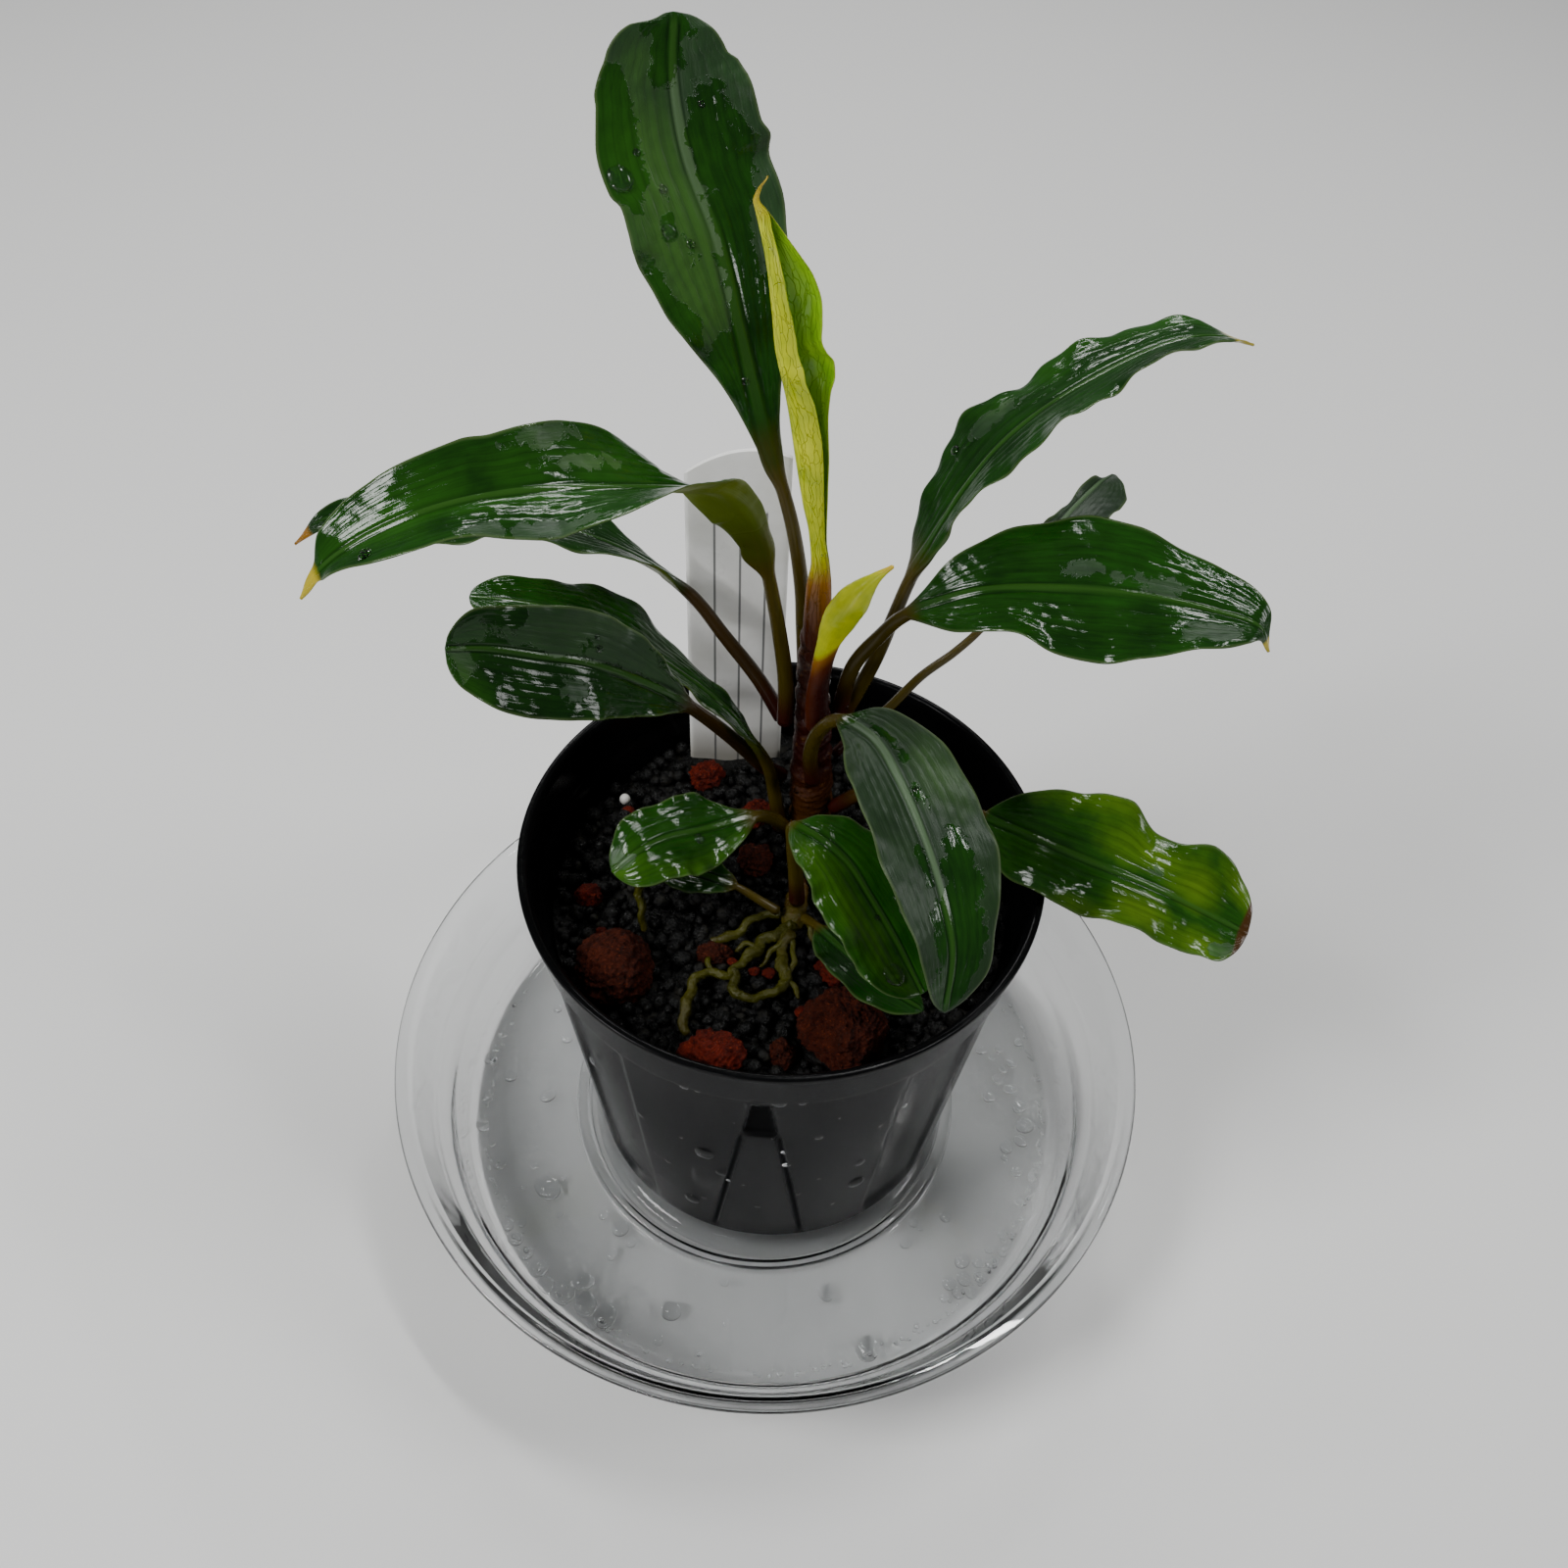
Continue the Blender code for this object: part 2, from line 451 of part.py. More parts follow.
def leaf_rings(leaf, petiole_steps, blade_steps, around):
    """Rings of points along one leaf, from the petiole's foot to the tip.

    Along the blade at t from 0 to 1 the half width is width * t^a * (1 - t)^b, scaled to its
    peak, and joins the petiole's radius as the root of the sum of squares. At u from -1 to 1
    across, a point lies half width * u to the side and is lifted by the fold, the margins' waves
    and the blade's own thickness, which is greatest at the midrib.
    """
    curve, length, at_knot = curve_through(leaf["route"])
    start = at_knot[leaf["blade"]]
    even = np.linspace(0, 1, blade_steps)
    t = (even + (1 - np.cos(np.pi * even)) / 2) / 2
    where = np.concatenate([np.linspace(0, start, petiole_steps, endpoint=False),
                            start + t * (length[-1] - start)])
    t = np.concatenate([np.zeros(petiole_steps), t])
    centre = points_at(curve, length, where)
    head = np.array([*leaf["head"], 0.0])
    head /= np.linalg.norm(head)
    side, up = frame_along(centre, np.cross(head, [0, 0, 1.0]))
    knots = np.linspace(0, 1, len(leaf["roll"]))
    roll = np.radians(np.interp(t, knots, leaf["roll"]))[:, None]
    side, up = side * np.cos(roll) + up * np.sin(roll), up * np.cos(roll) - side * np.sin(roll)

    a, b = leaf["full"]
    peak = (a / (a + b)) ** a * (b / (a + b)) ** b
    blade = leaf["width"] * t ** a * (1 - t) ** b / peak
    stalk = PETIOLE_RADIUS * np.where(t > 0, 1 - 0.7 * t, 1 + 0.25 * (1 - where / start))
    half = np.sqrt(blade ** 2 + stalk ** 2)[:, None]
    flat = np.clip(blade / (0.35 * leaf["width"]), 0, 1)[:, None]

    turn = np.linspace(0, 2 * np.pi, around, endpoint=False)[None, :]
    u = np.cos(turn)
    rib = MIDRIB_HALF * np.exp(-(half * u / 1.3) ** 2) * (1 - 0.5 * t)[:, None]
    thick = (1 - flat) * stalk[:, None] + flat * (BLADE_HALF + rib)
    lift = half * flat * math.tan(math.radians(leaf["fold"])) * (np.sqrt(u ** 2 + 0.01) - 0.1)
    height, count, phase = leaf["wave"]
    swell = np.sqrt(np.clip(4 * t * (1 - t), 0, 1))[:, None] * np.abs(u) ** 2.5
    wave = height * swell * np.sin(2 * np.pi * count * t[:, None] + phase + 1.7 * np.sign(u))
    across = (half * u * (1 + leaf["skew"] * np.sign(u) * flat))[:, :, None] * side[:, None]
    rise = (lift + wave + thick * np.sin(turn))[:, :, None] * up[:, None]
    return centre[:, None] + across + rise


def make_leaves():
    """Every grown leaf, petiole and blade in one piece."""
    for name, leaf in LEAVES.items():
        rings = leaf_rings(leaf, 5, 14, 8)
        count, around = rings.shape[:2]
        faces = [tuple(reversed(face)) for face in loft_faces(count, around)]
        add_solid(name, rings.reshape(-1, 3), faces, LEAF_GREEN, 0.3)


def make_young_leaf():
    """The newest leaf, still rolled: a sheet bent round a hollow that is open to the front right.

    Its section is an arc about the route whose radius grows a little from the inner margin to
    the outer one. The arc is nearly closed at the foot and opens to two thirds of a turn above.
    """
    route = [(4.2, 15.0, 90.2), (3.9, 15.2, 101), (3.5, 16, 111), (2.6, 17, 122.7),
             (0.9, 18, 136), (-1.7, 19, 148), (-3.9, 20, 156.5), (-5, 20, 160.5)]
    curve, length, _ = curve_through(route)
    t = np.linspace(0, 1, 15)
    centre = points_at(curve, length, t * length[-1])
    side, up = frame_along(centre, np.array([1.0, 0.0, 0.0]))
    swell = np.sin(np.pi * t ** 1.6) ** 1.3
    radius = (1.6 + 2.4 * swell - 1.3 * t)[:, None]
    thick = 0.25 - 0.1 * t[:, None]
    span = np.radians(320 - 100 * swell)[:, None]
    start = np.radians(10.0)
    share = np.linspace(0, 1, 8)[None, :]
    turn = start + span * share
    spiral = 0.9 + 0.2 * share
    outer = radius * spiral + thick
    inner = (radius * spiral - thick)[:, ::-1]
    reach = np.concatenate([outer, inner], axis=1)[:, :, None]
    angle = np.concatenate([turn, turn[:, ::-1]], axis=1)[:, :, None]
    rings = centre[:, None] + reach * (np.cos(angle) * side[:, None] - np.sin(angle) * up[:, None])
    count, around = rings.shape[:2]
    add_solid("leaf_young", rings.reshape(-1, 3), loft_faces(count, around), YOUNG_GREEN, 0.35)


def make_bud():
    """The shoot bud, a furled spindle that stands beside the young leaf."""
    route = [(6.2, 11.4, 85.2), (5.9, 11.6, 94), (7.6, 11.5, 104.6), (10.1, 11.2, 111),
             (12.4, 11, 116.2)]
    tube("leaf_bud", route, [1.0, 1.3, 2.1, 2.3, 1.4, 0.3], YOUNG_GREEN, 0.35, step=2.6)


def label_face(outline, shift):
    """One face of the label: the outline shifted sideways, turned about Z and leaned back a bit."""
    x = outline[:, 0] * math.cos(LABEL_TURN) - shift * math.sin(LABEL_TURN) + LABEL_X
    y = outline[:, 0] * math.sin(LABEL_TURN) + shift * math.cos(LABEL_TURN) + LABEL_Y
    lean = 0.012 * (outline[:, 1] - SOIL_TOP)
    return np.column_stack([x, y + lean, outline[:, 1]])


def make_label():
    """The plant label, a thin strip with round top corners and a pointed foot in the soil."""
    half, corner, thick = LABEL_HALF_WIDTH, 4.0, 0.35
    arc = np.radians(np.linspace(0, 90, 5))
    right = [(half - corner + corner * math.cos(a), LABEL_TOP - corner + corner * math.sin(a))
             for a in arc]
    left = [(-x, z) for x, z in reversed(right)]
    point = 9.0
    outline = [(0.0, LABEL_FOOT), (half, LABEL_FOOT + point)] + right + left
    outline = np.array(outline + [(-half, LABEL_FOOT + point)])
    points = np.vstack([label_face(outline, -thick), label_face(outline, thick)])
    faces = [tuple(reversed(face)) for face in loft_faces(2, len(outline))]
    add_solid("plant_label", points, faces, LABEL_WHITE, 0.4)
    return [box_cutter("label_socket_cutter", (LABEL_X, LABEL_Y - 0.2, 48.0),
                       (2 * half + 1.6, 2.4, 30), LABEL_TURN)]


clear_scene()
make_dish()
make_pot()
sockets = make_stones() + make_rhizomes() + make_label()
make_soil(sockets)
make_roots()
make_leaves()
make_young_leaf()
make_bud()
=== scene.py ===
import math

import bpy
import numpy as np
from mathutils import Matrix, Vector


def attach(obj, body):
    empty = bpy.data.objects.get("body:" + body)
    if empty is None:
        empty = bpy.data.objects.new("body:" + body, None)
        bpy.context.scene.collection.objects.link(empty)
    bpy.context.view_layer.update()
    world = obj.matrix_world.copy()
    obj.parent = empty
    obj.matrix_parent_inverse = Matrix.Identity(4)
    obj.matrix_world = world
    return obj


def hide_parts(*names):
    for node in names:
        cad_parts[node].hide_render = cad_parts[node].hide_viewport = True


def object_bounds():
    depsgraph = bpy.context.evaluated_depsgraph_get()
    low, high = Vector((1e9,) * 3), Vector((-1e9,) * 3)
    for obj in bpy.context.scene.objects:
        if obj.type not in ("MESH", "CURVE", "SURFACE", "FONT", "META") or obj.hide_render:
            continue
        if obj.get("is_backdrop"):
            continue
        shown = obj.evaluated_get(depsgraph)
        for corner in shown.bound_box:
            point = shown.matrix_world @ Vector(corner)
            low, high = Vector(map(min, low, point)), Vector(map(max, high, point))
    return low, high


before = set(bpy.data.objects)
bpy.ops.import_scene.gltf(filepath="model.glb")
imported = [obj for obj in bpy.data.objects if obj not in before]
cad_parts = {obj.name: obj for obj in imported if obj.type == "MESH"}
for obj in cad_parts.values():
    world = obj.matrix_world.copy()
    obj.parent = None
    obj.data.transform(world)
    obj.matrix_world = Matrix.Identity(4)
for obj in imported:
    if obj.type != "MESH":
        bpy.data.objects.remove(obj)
cad_low, cad_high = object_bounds()

# Studio
# A pale matt table, a dim even surround and five soft boxes. The camera looks down at the plant
# from in front, close enough that the tall leaf nearly reaches the top of the picture.
MM = 0.001                 # every size below is in millimetres
CAMERA_PLACE = (0.68, -125.08, 232.22)
CAMERA_RIGHT = (0.9988, 0.0373, 0.0320)
CAMERA_UP = (-0.0491, 0.7579, 0.6505)
CAMERA_FORWARD = (0.0, 0.6513, -0.7588)
LENS, SENSOR = 32.6, 36.0
SURROUND = (0.86, 0.87, 0.88)
SURROUND_STRENGTH = 0.16
TABLE_HALF, TABLE_HEIGHT = 2500, -0.3
TABLE_COLOUR = (0.72, 0.72, 0.71)
SOFT_BOXES = {             # place, what it is aimed at, its two sides, watts
    "key_light": ((-520, -240, 640), (0, 0, 70), (260, 260), 5.6),
    "overhead_strip_light": ((190, 180, 760), (0, 0, 90), (420, 26), 2.4),
    "back_strip_light": ((-60, 640, 620), (0, 0, 90), (460, 34), 2.0),
    "side_light": ((620, -60, 460), (0, 0, 80), (160, 300), 1.6),
    "low_front_light": ((-200, -560, 130), (0, 20, 130), (110, 70), 0.55),
}


def add(tree, kind, inputs=None, **settings):
    """Add a node to a material; each input is given a value, or linked when it is a socket."""
    made = tree.nodes.new(kind)
    for key, value in settings.items():
        setattr(made, key, value)
    for key, value in (inputs or {}).items():
        if isinstance(value, bpy.types.NodeSocket):
            tree.links.new(value, made.inputs[key])
        else:
            made.inputs[key].default_value = value
    return made


def finish_of(name, **sockets):
    """A Principled material whose sockets hold the given plain numbers and colours."""
    made = bpy.data.materials.new(name)
    made.use_nodes = True
    shader = made.node_tree.nodes["Principled BSDF"]
    for key, value in sockets.items():
        value = (*value, 1.0) if isinstance(value, tuple) else value
        shader.inputs[key.replace("_", " ")].default_value = value
    return made, made.node_tree, shader


def place_in_mm(tree):
    """The surface point in millimetres: Object coordinates times one thousand."""
    at = add(tree, "ShaderNodeTexCoord")
    return add(tree, "ShaderNodeVectorMath", {0: at.outputs["Object"], "Scale": 1 / MM},
               operation="SCALE").outputs[0]


def speckle(tree, where, scale, detail=3.0, roughness=0.55, distortion=0.0):
    """Noise from 0 to 1 whose cells are about one over scale millimetres wide."""
    made = add(tree, "ShaderNodeTexNoise", {"Vector": where, "Scale": scale, "Detail": detail,
                                            "Roughness": roughness, "Distortion": distortion})
    return made.outputs["Fac"]


def between(tree, value, low, high, to_low=0.0, to_high=1.0):
    """The value's place between low and high, carried over to the range to_low to to_high."""
    return add(tree, "ShaderNodeMapRange", {"Value": value, "From Min": low, "From Max": high,
                                            "To Min": to_low, "To Max": to_high}).outputs[0]


def field(tree, name):
    """A number that the mesh keeps at each point under that name."""
    return add(tree, "ShaderNodeAttribute", attribute_name=name).outputs["Fac"]


def times(tree, first, second):
    """first × second."""
    return add(tree, "ShaderNodeMath", {0: first, 1: second}, operation="MULTIPLY").outputs[0]


def stretched(tree, where, scales):
    """The point, each of its three numbers times its own scale."""
    return add(tree, "ShaderNodeVectorMath", {0: where, 1: scales}, operation="MULTIPLY").outputs[0]


def mix_colour(tree, share, first, second):
    """The first colour where share is 0, the second where it is 1."""
    first, second = ((*c, 1.0) if isinstance(c, tuple) else c for c in (first, second))
    made = add(tree, "ShaderNodeMix", data_type="RGBA")
    for index, value in ((0, share), (6, first), (7, second)):
        if isinstance(value, bpy.types.NodeSocket):
            tree.links.new(value, made.inputs[index])
        else:
            made.inputs[index].default_value = value
    return made.outputs[2]


def sum_of(tree, first, second, weight=1.0):
    """first + second × weight."""
    made = add(tree, "ShaderNodeMath", {0: second, 1: weight, 2: first}, operation="MULTIPLY_ADD")
    return made.outputs[0]


def relief(tree, shader, height, distance):
    """Bump the shader by height, whose 0 to 1 stands for distance millimetres."""
    made = add(tree, "ShaderNodeBump", {"Height": height, "Distance": distance * MM, "Strength": 1.0})
    tree.links.new(made.outputs["Normal"], shader.inputs["Normal"])


def paint(tree, shader, **sockets):
    """Link each named socket of the shader, such as Base_Color, to a pattern."""
    for key, value in sockets.items():
        tree.links.new(value, shader.inputs[key.replace("_", " ")])


def surface(name, points, face_groups, material, fields=None):
    """A smooth mesh from points in millimetres and arrays of quads or triangles.

    fields are numbers kept at each point for the material to read.
    """
    points = np.asarray(points, float).reshape(-1, 3)
    corners = np.concatenate([group.ravel() for group in face_groups]).astype(np.int32)
    sizes = np.concatenate([np.full(len(group), group.shape[1]) for group in face_groups])
    mesh = bpy.data.meshes.new(name)
    mesh.vertices.add(len(points))
    mesh.vertices.foreach_set("co", (points * MM).astype(np.float32).ravel())
    mesh.loops.add(len(corners))
    mesh.loops.foreach_set("vertex_index", corners)
    mesh.polygons.add(len(sizes))
    mesh.polygons.foreach_set("loop_start", (np.cumsum(sizes) - sizes).astype(np.int32))
    mesh.update(calc_edges=True)
    for key, values in (fields or {}).items():
        vector = np.ndim(values) > 1
        kept = mesh.attributes.new(key, "FLOAT_VECTOR" if vector else "FLOAT", "POINT")
        kept.data.foreach_set("vector" if vector else "value", np.asarray(values, np.float32).ravel())
    mesh.shade_smooth()
    mesh.materials.append(material)
    made = bpy.data.objects.new(name, mesh)
    bpy.context.scene.collection.objects.link(made)
    return made


def settle(piece, slot, *nodes):
    """Let a finished piece ride on the plant's one body, in place of the named solids.

    slot, the kind of material that the solids have (water has none), is not used.
    """
    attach(piece, "root")
    if nodes:
        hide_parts(*nodes)


camera_data = bpy.data.cameras.new("camera")
camera_data.lens, camera_data.sensor_width = LENS, SENSOR
camera_data.clip_start, camera_data.clip_end = 10 * MM, 10
camera = bpy.data.objects.new("camera", camera_data)
turned_to = Matrix((CAMERA_RIGHT, CAMERA_UP, tuple(-v for v in CAMERA_FORWARD))).transposed()
camera.matrix_world = Matrix.LocRotScale(np.array(CAMERA_PLACE) * MM, turned_to.to_quaternion(), None)
bpy.context.scene.collection.objects.link(camera)
bpy.context.scene.camera = camera

world = bpy.data.worlds.new("studio")
bpy.context.scene.world = world
world.use_nodes = True
world.node_tree.nodes["Background"].inputs["Color"].default_value = (*SURROUND, 1.0)
world.node_tree.nodes["Background"].inputs["Strength"].default_value = SURROUND_STRENGTH

for name, (place, aim, sides, watts) in SOFT_BOXES.items():
    box = bpy.data.lights.new(name, "AREA")
    box.shape = "RECTANGLE"
    box.size, box.size_y = sides[0] * MM, sides[1] * MM
    box.energy = watts
    lamp = bpy.data.objects.new(name, box)
    lamp.location = Vector(place) * MM
    lamp.rotation_mode = "QUATERNION"
    lamp.rotation_quaternion = (Vector(aim) - Vector(place)).to_track_quat("-Z", "Y")
    bpy.context.scene.collection.objects.link(lamp)

table_finish, tree, shader = finish_of("table", Base_Color=TABLE_COLOUR, Roughness=0.75)
corners = np.array([(-1, -1), (1, -1), (1, 1), (-1, 1)]) * TABLE_HALF
table = surface("table", np.column_stack([corners, np.full(4, TABLE_HEIGHT)]),
                [np.array([[0, 1, 2, 3]])], table_finish)
table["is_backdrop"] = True

# Dish
# The saucer is one thin moulding of clear plastic: a flat floor with a raised ring for the pot,
# and a wall that steps out half way up to a thick polished rim. Water stands in a ring at the
# pot's foot and lies about the floor in drops.
DISH_RADIUS, DISH_HEIGHT, DISH_FLOOR = 62.0, 22.5, 1.5
DISH_CORNER, DISH_RING = 52.0, 32.4
DISH_COLUMNS, WATER_COLUMNS = 288, 192
POT_X = 0.9                # the pot stands a little to the right of the dish's middle
WATER_FOOT, WATER_EDGE, WATER_CREEP = 27.2, 31.1, 2.5    # the ring's radii, and how far it climbs
DROPS = [                  # across, deep and radius of the drops that lie on the dish's floor
    (-39.6, 14.6, 0.8), (-37.1, 8.4, 0.9), (-46.1, 0.2, 1.2), (-38.8, -3.3, 1.3),
    (-45.2, -16.6, 1.2), (-39.1, -16.8, 0.6), (-33.9, -18.7, 0.6), (-40.5, -20.7, 0.6),
    (-36.3, -20.7, 2.0), (-39.7, -27.1, 0.7), (-33.6, -25.4, 0.5), (-26.2, -25.1, 0.8),
    (-23.1, -27.3, 1.4), (-21.1, -29.6, 0.9), (-24.1, -31.8, 0.9), (-25.9, -43.3, 1.0),
    (-50.3, 3.5, 1.2), (-49.4, -9.7, 1.1), (-42.0, -27.6, 1.0), (-40.3, -30.0, 1.2),
    (-38.2, -32.3, 1.2), (-35.8, -34.8, 1.5), (-34.2, -37.6, 1.5), (-31.3, -38.6, 2.1),
    (-28.2, -36.6, 1.5), (-27.3, -40.3, 1.8), (-24.0, -41.9, 1.9), (-13.4, -40.7, 1.6),
    (-15.1, -45.3, 0.9), (-8.7, -47.3, 0.5), (18.4, -45.2, 1.9), (26.3, -23.8, 0.8),
    (31.8, -22.4, 1.0), (25.0, -27.4, 0.9), (27.4, -24.6, 0.5), (44.6, -13.5, 1.0),
    (47.2, -14.3, 0.8), (44.8, -19.1, 0.8), (41.5, -25.2, 0.9), (39.0, -27.7, 0.8),
    (34.3, -30.0, 1.2), (36.9, -30.2, 0.9), (-4.5, -42.1, 0.6), (-5.1, -35.6, 0.7),
    (11.6, -36.5, 1.2), (46.6, 12.3, 0.9), (39.6, 10.3, 0.9), (42.9, 10.7, 0.8), (41.5, 8.9, 0.6),
    (45.1, 7.9, 0.9), (43.5, 6.6, 0.8), (42.3, 4.5, 1.0), (44.6, 2.6, 1.1), (40.5, 0.8, 1.2),
    (45.9, -1.0, 1.2), (46.7, -4.6, 1.5), (45.7, -7.6, 1.2), (43.1, -8.9, 1.2), (42.6, -10.9, 0.7),
    (32.0, -33.9, 1.2), (34.5, -33.0, 1.2), (33.4, -35.3, 1.1), (37.2, -32.5, 1.1),
    (39.3, -30.0, 1.0), (41.2, -28.0, 0.9), (35.6, -35.3, 1.0), (31.0, -36.3, 0.8)]
CORNER_DROPS = 260         # tiny ones along the inner corner of the floor
DROPS_FROM_TO = (-205, 25)     # degrees round the dish, past the front
chance = np.random.default_rng(7)


def rounded(corners, bend=6):
    """A profile of (radius, height, fillet): each corner is rounded by a parabola.

    It starts and ends the fillet's length from the corner, on the straight lines that meet there.
    """
    corners = np.asarray(corners, float)
    share = np.linspace(0, 1, bend)[:, None]
    profile = [corners[:1, :2]]
    for before, here, after in zip(corners[:-2], corners[1:-1], corners[2:]):
        back, ahead = before[:2] - here[:2], after[:2] - here[:2]
        reach = min(here[2], 0.45 * np.linalg.norm(back), 0.45 * np.linalg.norm(ahead))
        start = here[:2] + back / np.linalg.norm(back) * reach
        end = here[:2] + ahead / np.linalg.norm(ahead) * reach
        profile.append((1 - share) ** 2 * start + 2 * share * (1 - share) * here[:2] + share ** 2 * end)
    return np.vstack(profile + [corners[-1:, :2]])


def ring_grid(rows, columns, start=0):
    """Quads between neighbouring rows of a grid whose columns close in a ring."""
    row, column = np.meshgrid(np.arange(rows - 1), np.arange(columns), indexing="ij")
    here, beside = row * columns + column, row * columns + (column + 1) % columns
    return start + np.stack([here, beside, beside + columns, here + columns], axis=-1).reshape(-1, 4)


def fan(pole, first, columns, flip):
    """Triangles from a pole to the ring of columns points that starts at first."""
    here = first + np.arange(columns)
    beside = first + (np.arange(columns) + 1) % columns
    pair = (beside, here) if flip else (here, beside)
    return np.column_stack([np.full(columns, pole), *pair])


def turned_points(profile, columns, centre_x=0.0):
    """Points at radius × (cosine, sine) of each column's angle, and the two poles at the ends."""
    profile = np.asarray(profile, float)
    angle = 2 * np.pi * (np.arange(columns) + 0.5) / columns
    radius, height = profile[1:-1, :1], profile[1:-1, 1:]
    grid = np.stack([radius * np.cos(angle) + centre_x, radius * np.sin(angle),
                     height + 0 * angle], axis=-1)
    poles = [(centre_x, 0, profile[0, 1]), (centre_x, 0, profile[-1, 1])]
    return grid, np.array(poles, float), angle


def turned_faces(rows, columns):
    """The quads of a turned grid and the fans that close it at both poles."""
    count = rows * columns
    return [ring_grid(rows, columns), fan(count, 0, columns, True),
            fan(count + 1, count - columns, columns, False)]


def closed(rings, poles, inward=False):
    """The points and faces of a grid of rings that a pole closes at each end.

    inward turns the faces round, for rings whose points run the other way.
    """
    faces = turned_faces(*rings.shape[:2])
    faces = [group[:, ::-1] for group in faces] if inward else faces
    return np.vstack([rings.reshape(-1, 3), poles]), faces


def ball(rows, columns):
    """A unit ball as a grid of rows and columns between two poles, with its faces."""
    rise = np.pi * (np.arange(rows) + 1) / (rows + 1)
    turn = 2 * np.pi * np.arange(columns) / columns
    grid = np.stack([np.sin(rise)[:, None] * np.cos(turn), np.sin(rise)[:, None] * np.sin(turn),
                     -np.cos(rise)[:, None] + 0 * turn], axis=-1)
    return closed(grid, [(0, 0, -1), (0, 0, 1)])


def repeated(shape, faces, places):
    """One joined mesh of many copies: places has each copy's own points, shape by shape."""
    step = (np.arange(len(places)) * len(shape))[:, None, None]
    return places.reshape(-1, 3), [(group[None] + step).reshape(-1, group.shape[1]) for group in faces]


def drops_on(unit, places, outward, longways, sizes):
    """Each drop is the unit ball with its lower half pressed flat, stood on a surface.

    outward is the surface's normal and longways the way a drop is drawn out; sizes are its half
    length, half width and height.
    """
    flat = unit * np.where(unit[:, 2:] < 0, (1, 1, 0.08), 1)
    sideways = np.cross(outward, longways)
    axes = np.stack([longways, sideways, outward], axis=1) * sizes[..., None]
    return places[:, None] + np.einsum("pk,nkx->npx", flat, axes)


def floor_drops(shape, places, turn, sizes):
    """Drops that lie on the dish's floor, each drawn out along its own turn."""
    unit, unit_faces = shape
    places, sizes = (np.stack(np.broadcast_arrays(*three), axis=1) for three in (places, sizes))
    up = np.broadcast_to([0, 0, 1.0], places.shape)
    longways = np.column_stack([np.cos(turn), np.sin(turn), 0 * turn])
    return repeated(unit, unit_faces, drops_on(unit, places, up, longways, sizes))


def joined(*meshes):
    """Several (points, faces) as one: each one's faces count on from the points before it."""
    start, points, faces = 0, [], []
    for own_points, own_faces in meshes:
        points.append(own_points)
        faces += [group + start for group in own_faces]
        start += len(own_points)
    return np.vstack(points), faces


corner, rim, floor, top = DISH_CORNER, DISH_RADIUS, DISH_FLOOR, DISH_HEIGHT
dish_profile = rounded([
    (0, 0, 0), (DISH_RING - 1.3, 0, 0.3), (DISH_RING - 0.5, 0.9, 0.3), (DISH_RING + 0.5, 0.9, 0.3),
    (DISH_RING + 1.3, 0, 0.3), (corner - 1.5, 0, 1.2), (corner + 1.1, 1.1, 1.4),
    (corner + 3.2, 9.6, 1.2), (corner + 5.0, 11.4, 1.2), (rim - 1.9, top - 1.6, 1.0),
    (rim, top - 1.2, 0.5), (rim, top, 0.5), (rim - 2.2, top, 0.7), (corner + 4.0, 12.3, 1.2),
    (corner + 2.0, 10.3, 1.2), (corner + 0.2, 2.6, 1.0), (corner - 0.9, floor, 0.9),
    (DISH_RING + 1.2, floor, 0.3), (DISH_RING + 0.6, floor + 1.2, 0.3),
    (DISH_RING - 0.6, floor + 1.2, 0.3), (DISH_RING - 1.2, floor, 0.3), (0, floor, 0)])
grid, poles, _ = turned_points(dish_profile, DISH_COLUMNS)

dish_finish, tree, shader = finish_of("clear_plastic", Base_Color=(0.97, 0.98, 0.985),
                                      Roughness=0.03, IOR=1.49, Transmission_Weight=1.0)
at = place_in_mm(tree)
scuff = speckle(tree, at, 0.5, 4.0)
paint(tree, shader, Roughness=between(tree, scuff, 0.45, 0.8, 0.01, 0.10))
relief(tree, shader, speckle(tree, at, 0.06, 2.0), 0.25)
settle(surface("clear_dish", *closed(grid, poles), dish_finish), "clear_plastic", "dish")

water_finish, tree, shader = finish_of("water", Base_Color=(0.99, 0.995, 1.0), Roughness=0.0,
                                       IOR=1.33, Transmission_Weight=1.0)
relief(tree, shader, speckle(tree, place_in_mm(tree), 0.35, 2.0), 0.05)
meniscus = rounded([
    (0, floor + 0.05, 0), (WATER_FOOT, floor + 0.05, 0.2), (WATER_EDGE, floor + 0.04, 0.1),
    (WATER_EDGE - 0.3, floor + 0.6, 0.4), (WATER_EDGE - 1.8, floor + 1.0, 0.9),
    (WATER_FOOT + 1.1, floor + WATER_CREEP, 0.6), (WATER_FOOT + 0.75, floor + WATER_CREEP, 0.1),
    (WATER_FOOT, floor + 0.3, 0.2), (0, floor + 0.3, 0)], bend=5)
grid, poles, _ = turned_points(meniscus, WATER_COLUMNS, POT_X)
x, y, radius = np.array(DROPS).T
turn = chance.uniform(0, np.pi, len(x))
long, high = (radius * chance.uniform(*span, len(x)) for span in ((1.0, 1.3), (0.6, 0.85)))
drops = floor_drops(ball(8, 16), (x, y, floor + 0.12), turn, (long, radius, high))
turn = np.radians(chance.uniform(*DROPS_FROM_TO, CORNER_DROPS))
reach = corner - 1.7 - np.abs(chance.normal(0, 0.8, CORNER_DROPS))
radius = chance.uniform(0.15, 0.42, CORNER_DROPS)
tiny = floor_drops(ball(4, 8), (reach * np.cos(turn), reach * np.sin(turn), floor + 0.06),
                   turn + np.pi / 2, (1.2 * radius, radius, 0.7 * radius))
water = joined(closed(grid, poles), drops, tiny)
